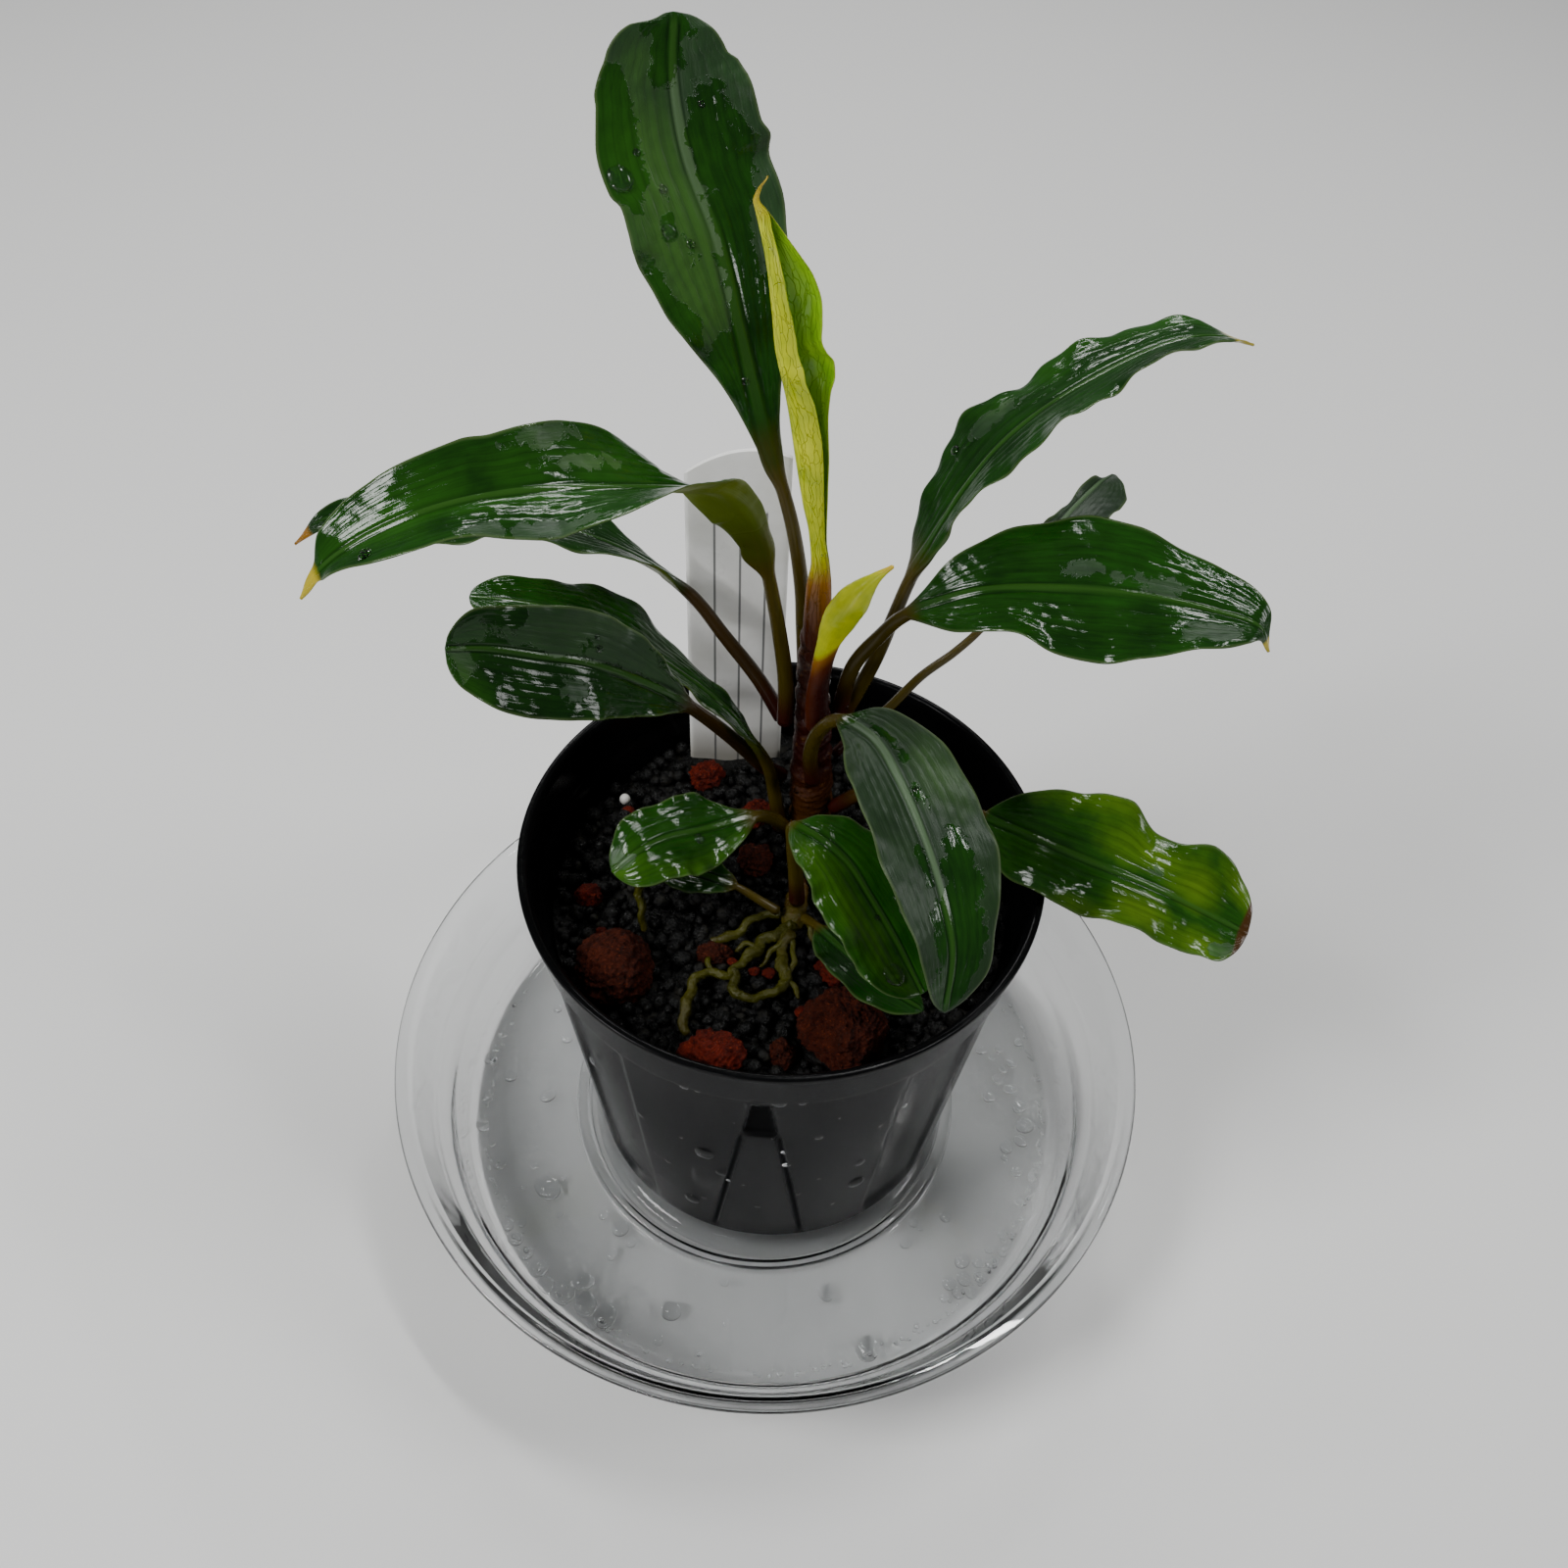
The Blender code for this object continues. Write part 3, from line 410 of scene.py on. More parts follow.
settle(surface("dish_water", *water, water_finish), None)

# Pot
# A thin black nursery pot, moulded: a collar under a rolled rim, four wide wall panels with
# sunk flutes between them, a tongue with a small window on each panel, and drain slots. It
# stands on its foot in the dish, and drops hang on its wet wall.
POT_RIM_RADIUS, POT_WALL = 37.5, 1.1
POT_BASE = DISH_FLOOR + 0.3
POT_RIM = POT_BASE + 71.2
COLLAR = POT_RIM - 8.6
BASE_RADIUS, CHAMFER_RADIUS, CHAMFER = 27.0, 30.0, 6.7
WALL_TOP_RADIUS = 35.4
POT_COLUMNS = 720
SLOTS, SLOT_ROWS, SLOT_HALF = 8, 6, math.radians(5)
SLOT_LOW, SLOT_HIGH = POT_BASE + 2.1, POT_BASE + 4.7
FLUTE_FROM, FLUTE_DEPTH = 33, 0.7     # degrees from a panel's middle, and millimetres
TONGUE_TOP, TONGUE_FOOT, TONGUE_DEPTH, TONGUE_GROOVE = 1.4, 7.2, 0.42, 0.32
WINDOW_TOP = COLLAR - 2.6
WINDOW_SILL, WINDOW_DEPTH = WINDOW_TOP - 10.2, 0.8
PANEL_TURN = 2.0           # degrees
WALL_DROPS = [             # degrees from the front, height and radius of the drops on the wall
    (-16, 40.5, 1.6), (-12, 34.2, 0.9), (-10, 31.5, 0.4), (-22, 43.2, 0.4), (-19, 62.9, 0.8),
    (-16, 62.9, 0.5), (2, 63.0, 1.1), (7, 62.9, 0.6), (12, 50.0, 0.7), (4, 45.2, 0.5),
    (5, 40.2, 0.7), (25, 35.2, 1.0), (26, 26.5, 1.5), (-22, 18.0, 1.4), (-18, 20.8, 0.6),
    (20, 19.8, 0.5), (55, 62.9, 1.2), (-45, 23.5, 0.5), (-34, 43.2, 0.6), (28, 47.8, 0.5),
    (-6, 31.0, 0.4), (-52, 45.8, 0.7), (34, 51.0, 0.5), (1, 50.6, 0.4), (-8, 55.0, 0.35),
    (16, 56.0, 0.4), (-28, 30.0, 0.6), (9, 27.5, 0.5), (-2, 22.0, 0.6), (14, 33.0, 0.4)]


def slope(low, high, value):
    """0 below low, 1 above high, and a smooth S between them."""
    share = np.clip((value - low) / (high - low), 0, 1)
    return share * share * (3 - 2 * share)


def radius_at(height):
    """The outer wall's radius: the chamfer's line, then the tapered wall's."""
    low, high = POT_BASE + CHAMFER, COLLAR - 0.6
    return np.where(height < low,
                    np.interp(height, [POT_BASE, low], [BASE_RADIUS, CHAMFER_RADIUS]),
                    np.interp(height, [low, high], [CHAMFER_RADIUS, WALL_TOP_RADIUS]))


def pot_rows():
    """The pot's profile: outside heights going up, the collar and rim, inside heights going down."""
    foot = [POT_BASE + 0.9, POT_BASE + 1.5]
    slots = np.append(np.linspace(SLOT_LOW, SLOT_HIGH, SLOT_ROWS), [POT_BASE + 5.4, POT_BASE + 6.1])
    wall = np.concatenate([np.linspace(POT_BASE + CHAMFER, WINDOW_SILL - 0.4, 40),
                           [WINDOW_SILL - 0.2, WINDOW_SILL],
                           np.linspace(WINDOW_SILL + 1, WINDOW_TOP - 0.4, 7),
                           [WINDOW_TOP - 0.2, WINDOW_TOP + 0.1, COLLAR - 1.2]])
    outside = np.concatenate([foot, slots, wall])
    outer = np.column_stack([radius_at(outside), outside])
    edge = POT_RIM_RADIUS
    head = rounded([
        (WALL_TOP_RADIUS, COLLAR - 0.9, 0), (WALL_TOP_RADIUS + 0.1, COLLAR - 0.3, 0.3),
        (edge - 1.3, COLLAR + 0.1, 0.4), (edge - 0.8, POT_RIM - 1.6, 0.5), (edge, POT_RIM - 1.0, 0.3),
        (edge, POT_RIM, 0.35), (edge - 1.0, POT_RIM, 0.35), (edge - 1.7, POT_RIM - 1.2, 0.4),
        (edge - 2.2, COLLAR + 0.9, 0.5), (WALL_TOP_RADIUS - POT_WALL, COLLAR - 0.6, 0)], bend=4)
    inside = np.concatenate([wall[::-2], slots[::-1]])
    inner = np.column_stack([radius_at(inside) - POT_WALL, inside])
    first = [(0, POT_BASE), (BASE_RADIUS - 2.0, POT_BASE), (BASE_RADIUS - 0.6, POT_BASE + 0.1),
             (BASE_RADIUS, POT_BASE + 0.5)]
    last = [(BASE_RADIUS - POT_WALL, POT_BASE + 1.2), (0, POT_BASE + 1.2)]
    return np.vstack([first, outer, head, inner, last])


def pot_dents(angle, height):
    """How far the wall is sunk at each angle and height, and how rough it is there.

    Flutes stand between the panels. A tongue widens downwards on each panel's middle, its two
    edges are narrow grooves, and its top is a sunk window. Grooves and window are rough.
    """
    degrees = (np.degrees(angle)[None, :] + PANEL_TURN) % 90
    from_middle = np.minimum(degrees, 90 - degrees)
    fade = slope(POT_BASE + CHAMFER, POT_BASE + CHAMFER + 4, height)
    fade = fade * (1 - slope(WINDOW_TOP - 0.3, WINDOW_TOP + 0.1, height))
    flute = slope(FLUTE_FROM, FLUTE_FROM + 3, from_middle) * FLUTE_DEPTH
    across = np.radians(from_middle) * radius_at(height)
    down = (WINDOW_TOP - height) / (WINDOW_TOP - POT_BASE - CHAMFER)
    half = TONGUE_TOP + (TONGUE_FOOT - TONGUE_TOP) * np.clip(down, 0, 1)
    groove = TONGUE_DEPTH * np.exp(-((across - half) / TONGUE_GROOVE) ** 2)
    window = 1 - slope(half - 0.5, half - 0.1, across)
    window = window * slope(WINDOW_SILL - 0.4, WINDOW_SILL, height) * fade
    rough = np.maximum(window, groove / TONGUE_DEPTH * slope(0.0, 3.0, WINDOW_SILL - height) * fade)
    return (flute + groove) * fade + window * WINDOW_DEPTH, rough


def slot_walls(rows, columns, low_rows, high_rows, inner_low, edges):
    """Faces that join the outer and inner wall round each drain slot.

    Row k outside meets row inner_low - k inside. The sill and head are strips of quads along the
    slot, and each jamb is a strip up it.
    """
    faces = []
    for left, right in edges:
        across = np.arange(left, right)
        for row, up in ((low_rows, False), (high_rows, True)):
            out, inn = row * columns, (inner_low - (row - low_rows)) * columns
            quad = [out + across, out + across + 1, inn + across + 1, inn + across]
            faces.append(np.column_stack(quad[::-1] if up else quad))
        climb = np.arange(low_rows, high_rows)
        for column, up in ((left, True), (right, False)):
            out, inn = climb * columns + column, (inner_low - (climb - low_rows)) * columns + column
            quad = [out, out + columns, inn - columns, inn]
            faces.append(np.column_stack(quad if not up else quad[::-1]))
    return np.vstack(faces)


profile = pot_rows()
grid, poles, angle = turned_points(profile, POT_COLUMNS, POT_X)
rows = len(grid)
heights = profile[1:-1, 1:]
sunk, window = pot_dents(angle, heights)
sunk[heights[:, 0] > COLLAR - 1.5] = 0
grid[..., 0] -= sunk * np.cos(angle)
grid[..., 1] -= sunk * np.sin(angle)
low_row = 3 + 2            # the rows of the foot come before the first row of the slots
high_row = low_row + SLOT_ROWS - 1
inner_low = rows - 2
inner_high = inner_low - SLOT_ROWS + 1
step = 2 * np.pi / POT_COLUMNS
slot_edges = [(round(((i + 0.5) * np.pi / 4 - SLOT_HALF) / step - 0.5),
               round(((i + 0.5) * np.pi / 4 + SLOT_HALF) / step - 0.5)) for i in range(SLOTS)]
quads = ring_grid(rows, POT_COLUMNS)
row_of, column_of = quads[:, 0] // POT_COLUMNS, quads[:, 0] % POT_COLUMNS
in_rows = (row_of >= low_row) & (row_of < high_row)
in_rows |= (row_of >= inner_high) & (row_of < inner_low)
in_slot = np.zeros(len(quads), bool)
for left, right in slot_edges:
    in_slot |= (column_of >= left) & (column_of < right)
walls = slot_walls(rows, POT_COLUMNS, low_row, high_row, inner_low, slot_edges)
pot_faces = [quads[~(in_rows & in_slot)], walls] + turned_faces(rows, POT_COLUMNS)[1:]

pot_finish, tree, shader = finish_of("black_plastic", Base_Color=(0.003, 0.003, 0.0033),
                                     Roughness=0.2, IOR=1.16)
at = place_in_mm(tree)
cloud = speckle(tree, at, 0.10, 4.0, 0.6)
fine = speckle(tree, stretched(tree, at, (0.5, 0.5, 3.0)), 2.0, 3.0)
scuff = speckle(tree, stretched(tree, at, (0.25, 0.25, 1.2)), 1.0, 5.0, 0.7)
dust = between(tree, scuff, 0.6, 0.8)
gloss = between(tree, sum_of(tree, cloud, fine, 0.5), 0.5, 1.0, 0.12, 0.26)
paint(tree, shader, Base_Color=mix_colour(tree, dust, (0.0022, 0.0023, 0.0026), (0.009, 0.0094, 0.009)),
      Roughness=sum_of(tree, gloss, field(tree, "window"), 0.8))
relief(tree, shader, sum_of(tree, fine, cloud, 2.0), 0.02)
window = window * (heights < COLLAR - 1.5) * (np.arange(rows) < inner_high)[:, None]
points, _ = closed(grid, poles)
pot = surface("nursery_pot", points, pot_faces, pot_finish, {"window": np.append(window, [0, 0])})
settle(pot, "black_plastic", "pot")

around, high, radius = np.array(WALL_DROPS).T
around = np.radians(around)
outward = np.column_stack([np.sin(around), -np.cos(around), -0.1 + 0 * around])
outward /= np.linalg.norm(outward, axis=1, keepdims=True)
reach = (radius_at(high) + 0.05)[:, None] * (1, 1, 0)
places = np.column_stack([POT_X + 0 * high, 0 * high, high]) + outward * reach
longways = np.cross(outward, np.column_stack([np.cos(around), np.sin(around), 0 * around]))
sizes = np.column_stack([radius * 1.15, radius, radius * 0.4])
unit, unit_faces = ball(7, 14)
wall_drops = repeated(unit, unit_faces, drops_on(unit, places, outward, longways, sizes))
settle(surface("wall_drops", *wall_drops, water_finish), None)

# Soil
# The plug is wet black baked-clay soil. Its bulk is one body with a bumpy top, and two loose
# layers of rounded grains, 1.5 to 3 mm across, lie on it between the stones. One white bead of
# plant food lies on the grains.
SOIL_TOP, SOIL_GAP = 60.5, 0.4
SOIL_RINGS, SOIL_COLUMNS = 40, 144
GRAIN_SPACING, GRAIN_LAYERS, GRAIN_REACH = 2.0, 2, 33.0
GRAIN_SIZES, GRAIN_SHARES = (0.75, 1.0, 1.32), (0.34, 0.42, 0.24)
STEM_SPOT, STEM_CLEAR = (5, 14), 3.6                     # no grain lies in the stem or the label
LABEL_SPOT, LABEL_CLEAR = (-7.4, 27.4), (8.2, 1.4)
STONES = {                 # centre, then half its width, depth and height
    "lava_stone_big_left": ((-22.0, -15.6, 63.4), (5.6, 5.6, 5.2)),
    "lava_stone_big_right": ((10.4, -23.6, 63.4), (6.0, 6.3, 5.8)),
    "lava_stone_front": ((-7.0, -28.2, 62.2), (4.0, 3.4, 3.2)),
    "lava_stone_small_front": ((2.2, -27.2, 61.8), (1.8, 2.0, 1.8)),
    "lava_stone_middle": ((-8.0, -11.6, 61.6), (2.5, 1.8, 1.8)),
    "lava_stone_under_leaf": ((9.4, -13.2, 61.8), (2.8, 2.4, 2.2)),
    "lava_stone_left": ((-27.0, -2.4, 61.8), (2.0, 1.9, 1.8)),
    "lava_stone_crown": ((-3.2, 6.0, 61.6), (2.6, 2.8, 2.2)),
    "lava_stone_back": ((-3.4, 14.4, 62.0), (2.5, 2.4, 2.5)),
    "lava_stone_label": ((-11.6, 22.0, 62.0), (2.6, 2.4, 2.5)),
}
BEAD = ((-23.9, 16.0, 62.4), 0.85)


def soil_height(x, y):
    """The soil's top: slow bumps of a few wave lengths and finer ones, a millimetre in all."""
    slow = np.sin(0.31 * x + 0.7) * np.cos(0.27 * y) + 0.7 * np.sin(0.53 * x - 0.41 * y + 1.9)
    return SOIL_TOP - 0.3 + 0.3 * slow + 0.15 * np.sin(2.1 * x) * np.sin(2.3 * y + x)


def grain_places():
    """Centres of the grains: rows of a jittered triangular pattern, a second layer on the first.

    Those that would lie inside a stone, the stem or the label are left out.
    """
    found = []
    for layer in range(GRAIN_LAYERS):
        spacing = GRAIN_SPACING * (1 + 0.5 * layer)
        steps = np.arange(-GRAIN_REACH, GRAIN_REACH, spacing)
        x, y = (v.ravel() for v in np.meshgrid(steps, steps * 0.9))
        x = x + (np.round(y / (0.9 * spacing)) % 2) * spacing / 2
        x = x + chance.uniform(-0.4, 0.4, len(x)) * spacing
        y = y + chance.uniform(-0.4, 0.4, len(y)) * spacing
        keep = np.hypot(x, y) < GRAIN_REACH
        x, y = x[keep], y[keep]
        z = soil_height(x, y) + 0.1 + 0.95 * layer + chance.uniform(-0.35, 0.45, len(x))
        found.append(np.column_stack([x + POT_X, y, z]))
    found = np.vstack(found)
    clear = np.linalg.norm(found[:, :2] - STEM_SPOT, axis=1) > STEM_CLEAR
    clear &= (np.abs(found[:, :2] - LABEL_SPOT) >= LABEL_CLEAR).any(axis=1)
    for centre, half in STONES.values():
        clear &= np.linalg.norm((found - centre) / (np.array(half) + 0.3), axis=1) > 1
    return found[clear]


def soil_profile():
    """The plug's profile: underside, side against the pot's wall, and its top in fine rings."""
    base = POT_BASE + 1.2 + SOIL_GAP
    foot, low, edge = (np.array([BASE_RADIUS, CHAMFER_RADIUS, radius_at(SOIL_TOP)])
                       - POT_WALL - SOIL_GAP)
    top = [(edge * k / SOIL_RINGS, SOIL_TOP) for k in range(SOIL_RINGS, -1, -1)]
    return [(0, base), (foot, base), (low, POT_BASE + CHAMFER + 0.2), *top]


soil_finish, tree, shader = finish_of("wet_black_soil", Base_Color=(0.012, 0.012, 0.011),
                                      Roughness=0.25, IOR=1.30)
at = place_in_mm(tree)
patch = speckle(tree, at, 0.45, 3.0)
grit = speckle(tree, at, 2.2, 5.0, 0.7)
paint(tree, shader,
      Base_Color=mix_colour(tree, between(tree, sum_of(tree, patch, grit, 0.6), 0.86, 1.15),
                            (0.0022, 0.0023, 0.0021), (0.024, 0.022, 0.015)),
      Roughness=between(tree, sum_of(tree, grit, patch, 0.5), 0.55, 0.95, 0.06, 0.6))
relief(tree, shader, grit, 0.30)
grid, poles, _ = turned_points(soil_profile(), SOIL_COLUMNS, POT_X)
on_top = grid[..., 2] > SOIL_TOP - 0.01
grid[on_top, 2] = soil_height(grid[on_top, 0], grid[on_top, 1])
poles[1, 2] = soil_height(*poles[1, :2])
settle(surface("soil_plug", *closed(grid, poles), soil_finish), "soil", "soil")

centres = grain_places()
grain, grain_faces = ball(6, 9)
count = len(centres)
size = chance.choice(GRAIN_SIZES, (count, 1, 1), p=GRAIN_SHARES)
size = size * chance.uniform(0.82, 1.15, (count, 1, 3))
spin = chance.uniform(0, 2 * np.pi, (3, count, 1))
lump = 1 + 0.12 * np.sin(3 * grain[None, :, 0] + spin[0]) * np.sin(2 * grain[None, :, 1] + spin[1])
lump = lump + 0.09 * np.sin(5 * grain[None, :, 2] + 3 * grain[None, :, 0] + spin[2])
points = grain[None] * size * lump[..., None] + centres[:, None]
settle(surface("soil_grains", *repeated(grain, grain_faces, points), soil_finish), "soil")

bead_finish, tree, shader = finish_of("white_bead", Base_Color=(0.75, 0.74, 0.70), Roughness=0.35)
relief(tree, shader, speckle(tree, place_in_mm(tree), 1.5, 3.0), 0.1)
points, faces = ball(12, 20)
settle(surface("feed_bead", points * BEAD[1] + BEAD[0], faces, bead_finish), "soil")

# Lava stones
# Ten loose pieces of porous red lava lie half sunk in the soil, with ten chips between them. Each
# is a broken lump, pitted all over with gas holes. Most small ones are a brighter orange red than
# the two big ones.
BIG_LUMP = dict(rows=120, columns=176, pits=520)
SMALL_LUMP = dict(rows=72, columns=100, pits=240, rough=1.9)
CHIP_FORM = (1.0, 0.8, 0.7)
# Dark and light grains, and the few bright ones.
BIG_LAVA = (0.030, 0.006, 0.003), (0.105, 0.020, 0.008), (0.30, 0.060, 0.018)
BRIGHT_LAVA = (0.060, 0.006, 0.003), (0.23, 0.021, 0.007), (0.42, 0.070, 0.018)
DULL_STONES = ("lava_stone_middle", "lava_stone_crown", "lava_stone_small_front")
CHIPS = [                  # place and size of the loose chips
    (-23.1, 13.8, 62.2, 1.0), (-2.2, -14.4, 62.3, 0.9), (-0.1, -14.6, 62.2, 1.1),
    (-20.4, -26.6, 62.0, 0.9), (-18.4, -27.6, 62.0, 0.7), (4.9, -20.6, 62.0, 1.2),
    (-14.8, 9.0, 62.0, 0.7), (14.5, -30.4, 62.0, 0.8), (-5.4, -12.8, 62.1, 0.8),
    (-24.6, -8.6, 62.0, 0.8)]


def stone_finish(name, dark, light, spark):
    """Rough lava: grains of dark and light, a few bright ones, and painted shade in its pores and pits.
    """
    made, tree, shader = finish_of(name, Base_Color=light, Roughness=0.7, IOR=1.25)
    at = place_in_mm(tree)
    grit = speckle(tree, at, 2.4, 6.0, 0.85)
    patch = speckle(tree, at, 0.30, 4.0, 0.6)
    dots = speckle(tree, at, 3.6, 2.0)
    body = mix_colour(tree, between(tree, sum_of(tree, grit, patch, 0.9), 0.75, 1.15), dark, light)
    body = mix_colour(tree, between(tree, dots, 0.62, 0.72), body, spark)
    # Painted shade: where the grit noise is low and the bump sinks, the stone is darkened like the
    # shade in small holes.
    pore_shade = between(tree, grit, 0.40, 0.30, 0.0, 0.7)
    body = mix_colour(tree, pore_shade, body, tuple(0.3 * c for c in dark))
    # Painted shade: the deeper a pit of the mesh, the darker it is painted.
    pits = times(tree, field(tree, "pit"), 0.65)
    body = mix_colour(tree, pits, body, tuple(0.35 * c for c in dark))
    paint(tree, shader, Base_Color=body, Roughness=between(tree, grit, 0.4, 0.7, 0.35, 0.8))
    relief(tree, shader, sum_of(tree, grit, dots, 0.6), 0.75)
    return made


def pitted(centre, half, rows, columns, pits, seed, rough=1.0):
    """A broken lump: a ball stretched to half, flattened on a few sides, waved and pitted.

    Each flat side cuts off what lies past it. Each pit lowers the points within its own radius
    by a bowl, one minus the square of the distance over the radius.
    """
    draw = np.random.default_rng(seed)
    unit, faces = ball(rows, columns)
    sides = draw.normal(size=(7, 3))
    sides /= np.linalg.norm(sides, axis=1, keepdims=True)
    reach = unit @ sides.T
    cut = draw.uniform(0.80, 1.0, 7) / np.maximum(reach, 0.3)
    radius = np.minimum(1.0, np.min(np.where(reach > 0.3, cut, 9), axis=1))
    for scale, height in ((3, 0.05), (7, 0.045), (15, 0.035), (31, 0.028), (60, 0.02)):
        turn = draw.normal(size=(6, 3)) * scale / 2
        swell = np.mean(np.sin(unit @ turn.T + draw.uniform(0, 6, 6)), axis=1)
        radius = radius + 2 * rough * height * swell
    bowls = draw.normal(size=(pits, 3))
    bowls /= np.linalg.norm(bowls, axis=1, keepdims=True)
    wide = draw.uniform(0.03, 0.10, pits) * (4.5 / max(half)) ** 0.5
    apart = np.sqrt(np.maximum(2 - 2 * unit @ bowls.T, 0))
    bowl = np.max(np.clip(1 - (apart / wide) ** 2, 0, 1) * wide, axis=1)
    points = unit * (radius - 0.5 * bowl)[:, None] * half + centre
    return points, faces, np.clip(bowl / 0.08, 0, 1)


lava_big = stone_finish("big_lava", *BIG_LAVA)
lava_bright = stone_finish("bright_lava", *BRIGHT_LAVA)
for index, (name, (centre, half)) in enumerate(STONES.items()):
    big = max(half) > 5
    lump, seed = (BIG_LUMP, 20) if big else (SMALL_LUMP, 50)
    points, faces, pit = pitted(centre, half, seed=seed + index, **lump)
    dull = big or name in DULL_STONES
    stone = surface(name + "_rock", points, faces, lava_big if dull else lava_bright, {"pit": pit})
    settle(stone, "lava_stone", name)
chips = [pitted(np.array(place), np.array(CHIP_FORM) * size, 16, 24, 20, seed=60 + index)
         for index, (*place, size) in enumerate(CHIPS)]
points, faces = joined(*(chip[:2] for chip in chips))
pit = np.concatenate([chip[2] for chip in chips])
settle(surface("lava_chips", points, faces, lava_bright, {"pit": pit}), "lava_stone")

# Stem and roots
# A thick dark red rhizome stands in the soil and carries the leaves, and a short shoot lies in
# front of it. Olive roots, four thick ones and six thin ones, wander over the grains and dive
# between them.
RHIZOME = [(5.0, 14.0, 55.0), (5.0, 14.0, 62.0), (4.6, 14.3, 74.0), (4.2, 14.8, 86.0),
           (3.7, 15.6, 96.0), (3.5, 16.2, 103.0)]
RHIZOME_RADII = [2.7, 2.9, 3.0, 2.6, 2.3, 1.9, 1.3]
SIDE_SHOOT, SHOOT_RADII = [(3.9, 2.6, 62.3), (3.4, -2.0, 62.8), (2.6, -7.2, 63.0)], [1.0, 1.5, 1.6]
ROOTS = {                  # route, then radius from end to end
    "root_long": ([(3.0, -6.0, 63.4), (1.4, -8.2, 63.1), (-1.0, -9.4, 62.9), (-2.4, -11.6, 62.8),
                   (-4.7, -14.0, 62.8), (-5.8, -15.8, 62.9), (-7.2, -15.7, 63.2),
                   (-8.8, -15.6, 63.3), (-10.4, -17.0, 63.3), (-11.0, -19.6, 63.2),
                   (-11.5, -22.6, 62.9), (-11.2, -25.4, 62.2)],
                  [0.95, 0.85, 0.9, 0.6, 0.62, 0.7, 0.75, 0.6]),
    "root_loop": ([(-4.9, -14.4, 62.8), (-4.9, -17.2, 62.7), (-4.2, -18.9, 62.7),
                   (-2.4, -19.0, 62.7), (0.4, -18.2, 62.8), (2.2, -16.6, 62.8), (1.8, -13.9, 62.8),
                   (1.5, -11.4, 62.9), (2.8, -7.6, 63.2)],
                  [0.7, 0.8, 0.6, 0.62, 0.8, 0.9, 0.8, 1.0]),
    "root_short": ([(1.4, -5.2, 63.4), (-1.6, -5.4, 63.4), (-3.8, -7.0, 63.0), (-5.6, -8.8, 62.6),
                    (-9.6, -9.6, 61.9)],
                   [0.6, 0.55, 0.6, 0.75, 0.3]),
    "root_left": ([(-19.4, -3.4, 70.4), (-19.2, -5.2, 66.6), (-18.5, -8.4, 61.9)], [0.7, 0.6, 0.45]),
}
ROOTLET_RADII = [0.5, 0.36, 0.4, 0.25]
ROOTLETS = [
    [(2.6, -6.4, 63.8), (1.4, -9.8, 63.4), (-0.4, -12.0, 62.7), (-1.4, -13.6, 62.0)],
    [(3.4, -4.0, 63.2), (5.2, -6.6, 62.8), (6.4, -9.6, 62.2)],
    [(1.8, -15.4, 62.9), (3.4, -16.6, 62.6), (4.4, -18.4, 61.9)],
    [(-2.0, -10.6, 63.0), (-3.4, -10.2, 62.8), (-5.2, -11.2, 62.2)],
    [(-8.4, -15.4, 63.4), (-8.8, -13.8, 62.9), (-8.4, -12.4, 62.0)],
    [(2.2, -8.2, 63.6), (3.2, -11.0, 63.2), (3.0, -14.2, 62.9), (2.3, -16.4, 62.8)],
]
LYING = (0.1, 0.2, 1.0)    # the side hint of what lies on the soil
SKINS = {                  # colours from foot to head, then how rough
    "red_stem_skin": ((0.080, 0.032, 0.005), (0.030, 0.003, 0.002), (0.042, 0.010, 0.003), 0.18),
    "brown_shoot_skin": ((0.050, 0.018, 0.004), (0.062, 0.040, 0.004), (0.060, 0.052, 0.006), 0.2),
    "olive_root_skin": ((0.034, 0.034, 0.002), (0.052, 0.052, 0.003), (0.036, 0.030, 0.002), 0.18),
}


def curve_through(knots, per_span=24):
    """A centripetal Catmull-Rom curve through the knots, and its length at each knot.

    Each span blends straight lines between four neighbouring knots, timed by the square root of
    their distances, so the curve keeps to the knots with no loops between them.
    """
    knots = np.asarray(knots, float)
    padded = np.vstack([2 * knots[0] - knots[1], knots, 2 * knots[-1] - knots[-2]])
    pieces = []
    for p0, p1, p2, p3 in zip(padded, padded[1:], padded[2:], padded[3:]):
        t1 = math.sqrt(np.linalg.norm(p1 - p0))
        t2 = t1 + math.sqrt(np.linalg.norm(p2 - p1))
        t3 = t2 + math.sqrt(np.linalg.norm(p3 - p2))
        t = np.linspace(t1, t2, per_span, endpoint=False)[:, None]
        a1 = (t1 - t) / t1 * p0 + t / t1 * p1
        a2 = (t2 - t) / (t2 - t1) * p1 + (t - t1) / (t2 - t1) * p2
        a3 = (t3 - t) / (t3 - t2) * p2 + (t - t2) / (t3 - t2) * p3
        b1 = (t2 - t) / t2 * a1 + t / t2 * a2
        b2 = (t3 - t) / (t3 - t1) * a2 + (t - t1) / (t3 - t1) * a3
        pieces.append((t2 - t) / (t2 - t1) * b1 + (t - t1) / (t2 - t1) * b2)
    curve = np.vstack(pieces + [knots[-1:]])
    length = np.concatenate([[0.0], np.cumsum(np.linalg.norm(np.diff(curve, axis=0), axis=1))])
    return curve, length, length[::per_span]


